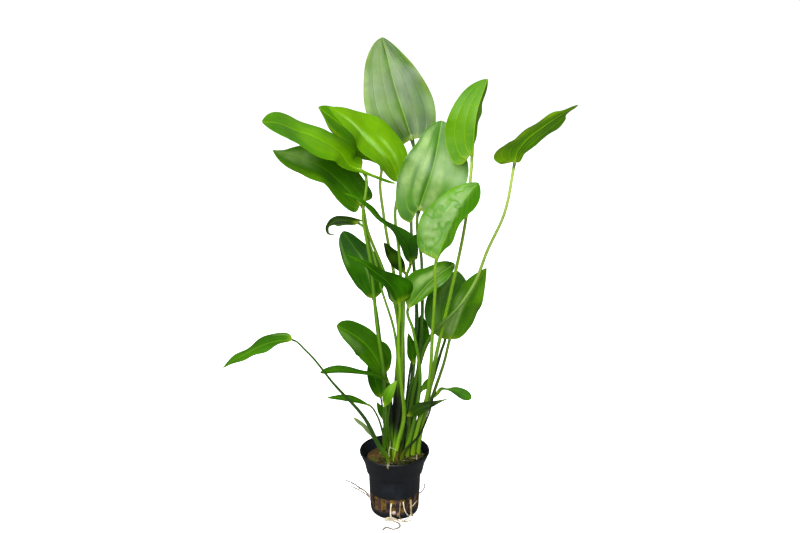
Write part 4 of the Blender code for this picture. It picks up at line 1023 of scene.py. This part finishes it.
class Nodes:
    """A material's node tree, with short calls to add and join its nodes."""

    def __init__(self, name):
        self.material = bpy.data.materials.new(name)
        self.material.use_nodes = True
        self.tree = self.material.node_tree
        self.shader = self.tree.nodes["Principled BSDF"]
        self.output = self.tree.nodes["Material Output"]

    def add(self, kind, inputs=None, **settings):
        node = self.tree.nodes.new("ShaderNode" + kind)
        for key, value in settings.items():
            setattr(node, key, value)
        for key, value in (inputs or {}).items():
            self.give(node.inputs[key], value)
        return node

    def give(self, socket, value):
        if isinstance(value, bpy.types.NodeSocket):
            self.tree.links.new(value, socket)
        else:
            socket.default_value = value

    def math(self, operation, *values):
        node = self.add("Math", operation=operation)
        for socket, value in zip(node.inputs, values):
            self.give(socket, value)
        return node.outputs[0]

    def times(self, first, second):
        return self.math("MULTIPLY", first, second)

    def plus(self, first, second):
        return self.math("ADD", first, second)

    def ramp(self, value, low, high, start=0.0, end=1.0):
        """start where the value is low, end where it is high, smoothly between."""
        node = self.add("MapRange", interpolation_type="SMOOTHSTEP")
        for key, given in zip(("Value", "From Min", "From Max", "To Min", "To Max"),
                              (value, low, high, start, end)):
            self.give(node.inputs[key], given)
        return node.outputs["Result"]

    def mix(self, share, first, second):
        node = self.add("Mix", data_type="RGBA")
        factor, colours = node.inputs[0], node.inputs[6:8]
        for socket, value in zip((factor, *colours), (share, first, second)):
            self.give(socket, value)
        return node.outputs[2]

    def two_tone(self, value, colours, low=0.35, high=0.65):
        """The first colour where the value is low, the second where it is high."""
        return self.mix(self.ramp(value, low, high), *colours)

    def here(self):
        return self.add("TexCoord").outputs["Object"]

    def split(self, vector=None):
        """The three parts of a vector, or else of the place on the object in metres."""
        return self.add("SeparateXYZ", {"Vector": vector or self.here()}).outputs

    def carried(self, name):
        """The three values that the mesh carries at each point."""
        return self.split(self.add("Attribute", attribute_name=name).outputs["Vector"])

    def noise(self, scale, detail=4.0, vector=None, rough=0.55):
        node = self.add("TexNoise", {"Vector": vector or self.here(), "Scale": scale,
                                     "Detail": detail, "Roughness": rough})
        return node.outputs["Fac"]

    def cells(self, scale):
        """How far each place is from the edge of its irregular cell."""
        node = self.add("TexVoronoi", {"Scale": scale, "Vector": self.here()},
                        feature="DISTANCE_TO_EDGE")
        return node.outputs["Distance"]

    def bump(self, height, distance, normal=None):
        node = self.add("Bump", {"Height": height, "Distance": distance})
        if normal:
            self.give(node.inputs["Normal"], normal)
        return node.outputs["Normal"]

    def finish(self, colour, roughness, normal=None, specular=0.5):
        self.give(self.shader.inputs["Base Color"], colour)
        self.give(self.shader.inputs["Roughness"], roughness)
        self.shader.inputs["Specular IOR Level"].default_value = specular
        if normal:
            self.give(self.shader.inputs["Normal"], normal)
        return self.material

    def surface(self, share, first, second):
        """The finished surface as a mixture of two shaders."""
        joined = self.add("MixShader", {0: share, 1: first.outputs[0], 2: second.outputs[0]})
        self.give(self.output.inputs["Surface"], joined.outputs[0])


# Each tone: shaded, plain and vein colours, then the strength and roughness of its gloss
TONES = {
    "wax": (rgb(56, 110, 0), rgb(80, 138, 2), rgb(130, 170, 52), 0.42, 0.36),
    "misty_sheen": (rgb(54, 94, 4), rgb(78, 122, 10), rgb(124, 156, 56), 0.46, 0.34),
    "bright": (rgb(66, 126, 0), rgb(90, 146, 0), rgb(134, 180, 10), 0.2, 0.4),
    "fresh": (rgb(58, 116, 0), rgb(82, 140, 0), rgb(116, 166, 14), 0.22, 0.42),
    "crinkle": (rgb(58, 118, 0), rgb(86, 146, 0), rgb(116, 166, 14), 0.3, 0.42),
    "mid": (rgb(44, 96, 0), rgb(66, 122, 0), rgb(98, 150, 16), 0.26, 0.4),
    # Deep and dark are painted shade: darker greens for leaves in shade or facing away from the
    # light
    "deep": (rgb(26, 74, 0), rgb(48, 104, 0), rgb(72, 128, 4), 0.1, 0.46),
    "dark": (rgb(12, 34, 0), rgb(28, 60, 0), rgb(58, 92, 6), 0.1, 0.46),
    "pale": (rgb(100, 128, 62), rgb(134, 158, 92), rgb(150, 175, 110), 0.3, 0.45),
}
# The colour of pale patches, painted sheen but for one paler tip, and the tones that have their
# own
SHEEN_AND_PALE_PATCH = rgb(126, 162, 82)
SHEEN_PATCHES = {"bright": rgb(150, 206, 90), "crinkle": rgb(136, 168, 98),
                "wax": rgb(138, 172, 92), "misty_sheen": rgb(134, 156, 102)}
# Dark patches are painted shade
SHADE_PATCH = rgb(18, 52, 0)
NECK_COLOUR = rgb(130, 160, 24)
LIGHT_THROUGH = rgb(130, 190, 0)
THROUGH_SHARE = 0.22
# Bands in millimetres from a vein or from the blade's base, and near the edge as a share
VEIN_BAND = (0.15, 0.8)
MINOR_BAND = (0.1, 0.55)
MIDRIB_BAND = (0.35, 1.1)
EDGE_BAND = (0.965, 1.0)
NECK_BAND = (0.0, 9.0)
BASE_BAND = (8.0, 45.0)
MINOR_SLANT = 0.9
MINOR_WANDER = 1.6
# A blade's two faces: how clear its main and minor veins are, how much its minor veins stand
# up, the height of all veins in metres, and a share of vein colour all over
FACES = {"upper": (0.06, 0.03, 0.15, -0.00008, 0.0), "under": (0.2, 0.14, 0.5, 0.0001, 0.08)}
# The height in metres of the fine cells in a blade's skin
CELL_HEIGHT = 0.00008


def vein_lines(nodes):
    """How strongly a main vein, and a vein between them, shows at each point of a blade."""
    across, along, half = nodes.carried("place")
    panels = nodes.times(nodes.math("ABSOLUTE", across), float(PANELS))
    from_vein = nodes.math("PINGPONG", panels, 0.5)
    away = nodes.times(from_vein, nodes.math("DIVIDE", half, float(PANELS)))
    main = nodes.ramp(away, *VEIN_BAND, 1.0, 0.0)
    wander = nodes.times(nodes.noise(70.0, 2.0), MINOR_WANDER)
    rungs = nodes.plus(nodes.math("DIVIDE", along, RUNG_PITCH),
                       nodes.times(from_vein, MINOR_SLANT))
    from_rung = nodes.times(nodes.math("PINGPONG", nodes.plus(rungs, wander), 0.5), RUNG_PITCH)
    minor = nodes.ramp(from_rung, *MINOR_BAND, 1.0, 0.0)
    return across, along, half, main, minor


def blade_material(tone, face):
    """Living leaf: mottled green, painted sheen and shade in patches, lighter veins, a waxy skin
    and light through it.
    """
    dark, light, vein, gloss, roughness = TONES[tone]
    main_share, minor_share, minor_height, height, all_over = FACES[face]
    nodes = Nodes(f"leaf_{tone}_{face}")
    across, along, half, main, minor = vein_lines(nodes)
    out = nodes.math("ABSOLUTE", across)
    grain = nodes.noise(900.0, 3.0)
    colour = nodes.two_tone(nodes.noise(22.0, 3.0), (dark, light), 0.35, 0.68)
    colour = nodes.mix(nodes.ramp(grain, 0.3, 0.75, 0.0, 0.14), colour, dark)
    # Patches that the leaf carries: painted sheen and one paler tip (pale), painted shade (dark),
    # gold
    mottle = nodes.ramp(nodes.noise(75.0, 4.0), 0.3, 0.7, 0.6, 1.15)
    # Crinkled leaves: painted crease shade, the painted sheen breaking off along thin wandering
    # lines
    if tone == "crinkle":
        painted_creases = nodes.math("ABSOLUTE", nodes.math("SUBTRACT", nodes.noise(42.0, 2.0), 0.5))
        mottle = nodes.times(mottle, nodes.ramp(painted_creases, 0.005, 0.06, 0.15, 1.0))
    pale, shade, gold = nodes.carried("tint")
    for strength, patch in ((gold, vein), (pale, SHEEN_PATCHES.get(tone, SHEEN_AND_PALE_PATCH)),
                            (shade, SHADE_PATCH)):
        colour = nodes.mix(nodes.times(strength, mottle), colour, patch)
    # Veins, edge and neck
    strength = nodes.plus(nodes.ramp(along, *BASE_BAND, 0.3, 0.0), main_share)
    middle = nodes.ramp(nodes.times(out, half), *MIDRIB_BAND, 0.6, 0.0)
    lines = nodes.math("MAXIMUM", nodes.times(main, strength), nodes.times(minor, minor_share))
    colour = nodes.mix(nodes.math("MAXIMUM", lines, middle), colour, vein)
    colour = nodes.mix(nodes.ramp(out, *EDGE_BAND, 0.0, 0.4), colour, vein)
    colour = nodes.mix(nodes.ramp(along, *NECK_BAND, 0.6, 0.0), colour, NECK_COLOUR)
    if all_over:
        colour = nodes.mix(all_over, colour, vein)
    # Skin
    raised = nodes.bump(nodes.plus(main, nodes.times(minor, minor_height)), height)
    skin = nodes.plus(nodes.cells(650.0), nodes.times(grain, 0.6))
    skin = nodes.bump(skin, CELL_HEIGHT, raised)
    sheen = nodes.ramp(nodes.noise(60.0, 3.0), 0.3, 0.7, roughness - 0.05, roughness + 0.06)
    nodes.finish(colour, sheen, skin, gloss)
    through = nodes.add("BsdfTranslucent", {"Color": nodes.mix(0.5, colour, LIGHT_THROUGH),
                                            "Normal": skin})
    nodes.surface(THROUGH_SHARE, nodes.shader, through)
    return nodes.material


# Each stalk tone: darker and lighter streaks, the colour near its blade, then how strongly its
# lower part is painted in shade, the distance up the stalk where that ends, and the shade's colour
STEMS = {
    "light": (rgb(78, 124, 0), rgb(114, 156, 10), rgb(132, 158, 40), 0.5, 200.0, rgb(24, 58, 0)),
    "lime": (rgb(84, 132, 0), rgb(122, 166, 18), rgb(158, 182, 70), 0.3, 170.0, rgb(22, 56, 0)),
    "green": (rgb(58, 108, 0), rgb(92, 140, 4), rgb(104, 144, 16), 0.55, 180.0, rgb(24, 58, 0)),
    # Dark stalks are darker green all along: painted shade
    "dark": (rgb(34, 72, 0), rgb(56, 100, 2), rgb(116, 132, 44), 0.6, 200.0, rgb(18, 46, 0)),
    # Painted shade far up the stalk
    "long_shadow": (rgb(78, 126, 0), rgb(118, 160, 16), rgb(164, 186, 76), 0.8, 310.0, rgb(30, 66, 0)),
    "shade": (rgb(44, 88, 0), rgb(76, 124, 2), rgb(90, 132, 10), 0.5, 180.0, rgb(24, 58, 0)),
    # Stalks deep in the clump: near-black painted shadow over their lower part
    "shadowed_gap": (rgb(64, 114, 0), rgb(102, 148, 8), rgb(138, 166, 46), 1.0, 130.0, rgb(9, 19, 0)),
    "night": (rgb(14, 30, 0), rgb(26, 52, 0), rgb(60, 90, 8), 0.6, 150.0, rgb(8, 20, 0)),
}
# Bands up a stalk in millimetres: its pale foot, where its painted shade starts, and its upper
# part
STALK_FOOT_BAND = (4.0, 30.0)
SHADING_BAND = (20.0, 50.0)
UPPER_BAND = (230.0, 400.0)
SHADING_FADE = 0.55
STALK_FOOT_COLOUR = rgb(104, 120, 18)
# Streaks: how many there are round the stalk, and along each millimetre of it
STREAKS_ROUND = 7.0
STREAKS_ALONG = 0.035
FINE_RIBS = 44.0
FINE_RIB_HEIGHT = 0.00006


def stalk_material(tone):
    """Smooth ribbed stalk: yellow-green, streaked lengthwise, paler at its foot, painted shade
    lower down.
    """
    dark, light, upper, shading, shaded_end, shadow = STEMS[tone]
    nodes = Nodes("stalk_" + tone)
    around, along, radius = nodes.carried("place")
    stretched = nodes.add("CombineXYZ", {"X": nodes.times(around, STREAKS_ROUND),
                                         "Y": nodes.times(along, STREAKS_ALONG), "Z": radius})
    streaks = nodes.noise(1.0, 3.0, stretched.outputs[0])
    colour = nodes.two_tone(streaks, (dark, light))
    colour = nodes.mix(nodes.ramp(nodes.noise(35.0, 3.0), 0.4, 0.7, 0.0, 0.5), colour, light)
    # Painted shade over the lower stalk, fading out higher up
    fade = nodes.ramp(along, SHADING_FADE * shaded_end, shaded_end, shading, 0.0)
    colour = nodes.mix(nodes.times(nodes.ramp(along, *SHADING_BAND), fade), colour, shadow)
    colour = nodes.mix(nodes.ramp(along, *UPPER_BAND, 0.0, 0.75), colour, upper)
    colour = nodes.mix(nodes.ramp(along, *STALK_FOOT_BAND, 0.5, 0.0), colour,
                       STALK_FOOT_COLOUR)
    ribs = nodes.math("SINE", nodes.times(around, FINE_RIBS))
    normal = nodes.bump(nodes.plus(ribs, streaks), FINE_RIB_HEIGHT)
    return nodes.finish(colour, nodes.ramp(streaks, 0.3, 0.7, 0.34, 0.5), normal)


# Two colours each, for the pot, the medium and the litter
MIXTURES = {
    "plastic": (rgb(10, 14, 18), rgb(20, 26, 33)),
    "brown": (rgb(36, 24, 4), rgb(100, 72, 20)),
    "mossy": (rgb(16, 16, 4), rgb(62, 60, 18)),
    "rooty": (rgb(30, 18, 6), rgb(122, 92, 24)),
    "crown": (rgb(18, 20, 4), rgb(86, 84, 20)),
    "moss": (rgb(14, 16, 2), rgb(58, 62, 12)),
    "dry": (rgb(50, 42, 6), rgb(92, 80, 18)),
}
# Places on the part in metres: the stain on the slots' bars, the change from brown to mossy
# medium, the top of the slots' rooty look, and the change from dead sheath to dead leaf end
STAIN_BAND = (0.006, 0.011)
STAIN_END = (0.028, 0.031)
STAIN_COLOUR = rgb(84, 60, 60)
MOSSY_BAND = (-0.016, 0.0)
MOSSY_WANDER = 0.03
ROOTY_END = (0.035, 0.05)
TAN_BAND = (-0.045, -0.036)


def plastic_material():
    """Black moulded plastic, faintly blue, scuffed, with a brown stain on the slots' bars."""
    nodes = Nodes("black_plastic")
    scuffs = nodes.noise(45.0, 6.0, rough=0.7)
    colour = nodes.two_tone(scuffs, MIXTURES["plastic"], 0.4, 0.75)
    height = nodes.split()[2]
    stain = nodes.times(nodes.ramp(height, *STAIN_END, 1.0, 0.0),
                        nodes.ramp(nodes.noise(120.0, 5.0), 0.38, 0.62, 0.1, 0.75))
    stain = nodes.times(stain, nodes.ramp(height, *STAIN_BAND))
    colour = nodes.mix(stain, colour, STAIN_COLOUR)
    grain = nodes.bump(nodes.noise(1500.0, 2.0), 0.00005)
    return nodes.finish(colour, nodes.ramp(scuffs, 0.35, 0.7, 0.42, 0.6), grain, 0.36)


def medium_material():
    """Damp medium: brown at the left, mossy at the right, paler and rooty in the slots."""
    nodes = Nodes("damp_medium")
    lumps = nodes.noise(140.0, 6.0, rough=0.7)
    place = nodes.split()
    wander = nodes.times(nodes.math("SUBTRACT", nodes.noise(60.0), 0.5), MOSSY_WANDER)
    rightward = nodes.ramp(nodes.plus(place[0], wander), *MOSSY_BAND)
    colour = nodes.mix(rightward, nodes.two_tone(lumps, MIXTURES["brown"]),
                       nodes.two_tone(lumps, MIXTURES["mossy"]))
    moss = nodes.ramp(nodes.noise(70.0, 4.0), 0.52, 0.62, 0.0, 0.8)
    colour = nodes.mix(moss, colour, rgb(66, 74, 8))
    rooty = nodes.two_tone(lumps, MIXTURES["rooty"], 0.4, 0.6)
    colour = nodes.mix(nodes.ramp(place[2], *ROOTY_END, 1.0, 0.0), colour, rooty)
    threads = nodes.ramp(nodes.cells(260.0), 0.0, 0.06, 0.3, 0.0)
    colour = nodes.mix(threads, colour, rgb(150, 126, 84))
    height = nodes.plus(lumps, nodes.noise(900.0, 4.0))
    return nodes.finish(colour, 0.9, nodes.bump(height, 0.0012), 0.3)


def crown_material():
    """Knotty crown: olive and brown, with mossy hollows."""
    nodes = Nodes("knotty_crown")
    colour = nodes.two_tone(nodes.noise(110.0, 6.0, rough=0.7), MIXTURES["crown"])
    moss = nodes.ramp(nodes.noise(60.0, 4.0), 0.48, 0.6, 0.0, 0.8)
    colour = nodes.mix(moss, colour, rgb(44, 70, 4))
    return nodes.finish(colour, 0.85, nodes.bump(nodes.noise(500.0, 4.0), 0.001), 0.3)


# Each root's look: its two colours
ROOT_TONES = {
    "cream": (rgb(228, 222, 194), rgb(200, 180, 150)),
    "pink": (rgb(196, 172, 164), rgb(160, 140, 130)),
    "brown": (rgb(176, 158, 120), rgb(128, 104, 70)),
    "grey": (rgb(128, 122, 114), rgb(92, 88, 84)),
    "floor": (rgb(238, 232, 208), rgb(214, 194, 170)),
    "olive": (rgb(118, 112, 44), rgb(84, 84, 24)),
}
# Changes along the olive root: from where to where in millimetres, the shares before and
# after, and the colour that comes or goes
OLIVE_CHANGES = [(3.0, 6.0, 1.0, 0.0, rgb(204, 186, 170)), (19.0, 21.0, 0.0, 1.0, rgb(44, 44, 26)),
                 (24.0, 26.0, 0.0, 1.0, rgb(118, 114, 104))]


def root_material(tone):
    """Root with a tinge and darker specks; some change colour along the way, some have painted
    shade near the floor.
    """
    nodes = Nodes(tone + "_root")
    colour = nodes.two_tone(nodes.noise(90.0, 4.0), ROOT_TONES[tone], 0.4, 0.65)
    if tone == "cream":
        # Painted shade and darker specks near the floor, in patches by noise
        low = nodes.times(nodes.ramp(nodes.split()[2], 0.001, 0.006, 1.0, 0.0),
                          nodes.ramp(nodes.noise(170.0, 4.0), 0.42, 0.58, 0.25, 0.9))
        colour = nodes.mix(low, colour, rgb(150, 138, 108))
    if tone == "floor":
        # Painted shade: darker grey where the root lies on the floor
        low = nodes.ramp(nodes.split()[2], 0.002, 0.004, 1.0, 0.0)
        colour = nodes.mix(low, colour, rgb(116, 110, 98))
    if tone == "olive":
        along = nodes.carried("place")[1]
        for start, end, before, after, change in OLIVE_CHANGES:
            colour = nodes.mix(nodes.ramp(along, start, end, before, after), colour, change)
    dirt = nodes.ramp(nodes.noise(260.0, 4.0), 0.58, 0.7, 0.0, 0.45)
    colour = nodes.mix(dirt, colour, rgb(150, 125, 92))
    return nodes.finish(colour, 0.6, nodes.bump(nodes.noise(1400.0, 3.0), 0.0002), 0.4)


def moss_material():
    """Dark moss with lighter tips and specks of dry litter."""
    nodes = Nodes("dark_moss")
    lumps = nodes.noise(260.0, 6.0, rough=0.75)
    colour = nodes.two_tone(lumps, MIXTURES["moss"], 0.38, 0.6)
    specks = nodes.ramp(nodes.noise(420.0, 3.0), 0.58, 0.66, 0.0, 0.8)
    colour = nodes.mix(specks, colour, rgb(134, 124, 84))
    return nodes.finish(colour, 0.92, nodes.bump(nodes.noise(800.0, 4.0), 0.0012), 0.25)


def dry_material():
    """Dead leaf: olive brown at the stalks' feet, tan and fibrous at the end over the rim."""
    nodes = Nodes("dry_leaf")
    fibres = nodes.noise(220.0, 4.0, rough=0.7)
    colour = nodes.two_tone(fibres, MIXTURES["dry"])
    tan = nodes.ramp(nodes.split()[1], *TAN_BAND, 1.0, 0.0)
    colour = nodes.mix(tan, colour, rgb(118, 112, 84))
    return nodes.finish(colour, 0.8, nodes.bump(fibres, 0.0004), 0.3)


# Surroundings, in metres
WHITE = (1, 1, 1, 1)
FLOOR_REACH = 14.0
FLOOR_GLOW = 0.92
FILL_STRENGTH = 0.16
CAMERA_PLACE = (0.007, -1.2965, 0.7389)
CAMERA_TILT = 17.4
CAMERA_LENS = 50.0
CAMERA_SENSOR = 36.0
# Softboxes: name, place, the point that it faces, size, power and whether it mirrors in gloss
SOFTBOXES = [
    ("front_softbox", (-0.55, -1.75, 1.25), (0, 0, 0.42), (1.7, 1.3), 70.0, True),
    ("top_softbox", (0.1, -0.2, 2.1), (0, 0, 0.3), (1.5, 1.5), 30.0, False),
    ("back_softbox", (0.7, 1.9, 1.3), (0, 0, 0.35), (1.5, 1.2), 22.0, False),
    ("side_softbox", (1.7, -0.4, 0.8), (0, 0, 0.35), (1.2, 1.2), 12.0, False),
]


def make_floor():
    """A wide floor that the camera sees as white, and that lights the plant only a little."""
    mesh = bpy.data.meshes.new("floor")
    turns = ((-1, -1), (1, -1), (1, 1), (-1, 1))
    corners = [(x * FLOOR_REACH, y * FLOOR_REACH, 0) for x, y in turns]
    mesh.from_pydata(corners, [], [(0, 1, 2, 3)])
    obj = link("floor", mesh)
    nodes = Nodes("pale_floor")
    colour = nodes.mix(nodes.noise(3.0), rgb(246, 246, 246), rgb(252, 252, 252))
    nodes.finish(colour, 0.8, specular=0.1)
    nodes.shader.inputs["Emission Color"].default_value = WHITE
    nodes.shader.inputs["Emission Strength"].default_value = FLOOR_GLOW
    dim = nodes.add("BsdfDiffuse", {"Color": rgb(110, 110, 110)})
    seen = nodes.add("LightPath").outputs["Is Camera Ray"]
    nodes.surface(seen, dim, nodes.shader)
    mesh.materials.append(nodes.material)


def make_light(name, place, target, size, power, mirrored):
    """A soft lamp that the camera doesn't see."""
    data = bpy.data.lights.new(name, "AREA")
    data.shape = "RECTANGLE"
    data.size, data.size_y = size
    data.energy = power
    obj = link(name, data)
    obj.location = place
    direction = Vector(target) - Vector(place)
    obj.rotation_euler = direction.to_track_quat("-Z", "Y").to_euler()
    obj.visible_camera = False
    obj.visible_glossy = mirrored


def make_world():
    """White to the camera, and a weak white fill on the plant."""
    world = bpy.data.worlds.new("studio")
    world.use_nodes = True
    tree = world.node_tree
    tree.nodes.clear()
    path, mix, output = (tree.nodes.new("ShaderNode" + kind)
                         for kind in ("LightPath", "MixShader", "OutputWorld"))
    for socket, strength in ((1, FILL_STRENGTH), (2, 1.0)):
        white = tree.nodes.new("ShaderNodeBackground")
        white.inputs["Strength"].default_value = strength
        white.inputs["Color"].default_value = WHITE
        tree.links.new(white.outputs[0], mix.inputs[socket])
    tree.links.new(path.outputs["Is Camera Ray"], mix.inputs[0])
    tree.links.new(mix.outputs[0], output.inputs["Surface"])
    bpy.context.scene.world = world


def make_camera():
    """The camera, fitted to the pot's rim and foot in the picture."""
    data = bpy.data.cameras.new("camera")
    data.lens = CAMERA_LENS
    data.sensor_fit = "HORIZONTAL"
    data.sensor_width = CAMERA_SENSOR
    obj = link("camera", data)
    obj.location = CAMERA_PLACE
    obj.rotation_euler = (math.radians(90 - CAMERA_TILT), 0.0, 0.0)
    bpy.context.scene.camera = obj


# The two sets of leaves: rows, name, the nodes that each stands for, slot and patches
LEAF_SETS = [
    (LEAVES, "leaf_{:02d}", ["leaf_stalk_{:02d}", "leaf_blade_{:02d}"], "leaf_blade",
     LEAF_PATCHES),
    (YOUNG_LEAVES, "young_leaf_{:02d}_skin", ["young_leaf_{:02d}"], "young_leaf",
     YOUNG_PATCHES),
]


def leaf_pieces():
    """All the leaves; each one's count, full-grown ones first, sets its phase."""
    upper, under = ({tone: blade_material(tone, face) for tone in TONES} for face in FACES)
    stalks = {tone: stalk_material(tone) for tone in STEMS}
    made = 0
    for rows, name, nodes, slot, patches in LEAF_SETS:
        for number, row in enumerate(rows, 1):
            made += 1
            look = [upper[row["tone"]], under[row["tone"]], stalks[row["stem"]]]
            leaf_piece(name.format(number), row, made, [node.format(number) for node in nodes],
                       look, patches.get(number, ()))


def build():
    make_camera()
    make_world()
    make_floor()
    for row in SOFTBOXES:
        make_light(*row)
    leaf_pieces()
    pot_piece(plastic_material())
    medium_piece(medium_material())
    crown_piece(crown_material())
    roots = {tone: root_material(tone) for tone in ROOT_TONES}
    root_pieces(roots)
    litter_pieces(moss_material(), dry_material(), roots)


build()
bpy.context.scene.view_settings.view_transform = "Standard"
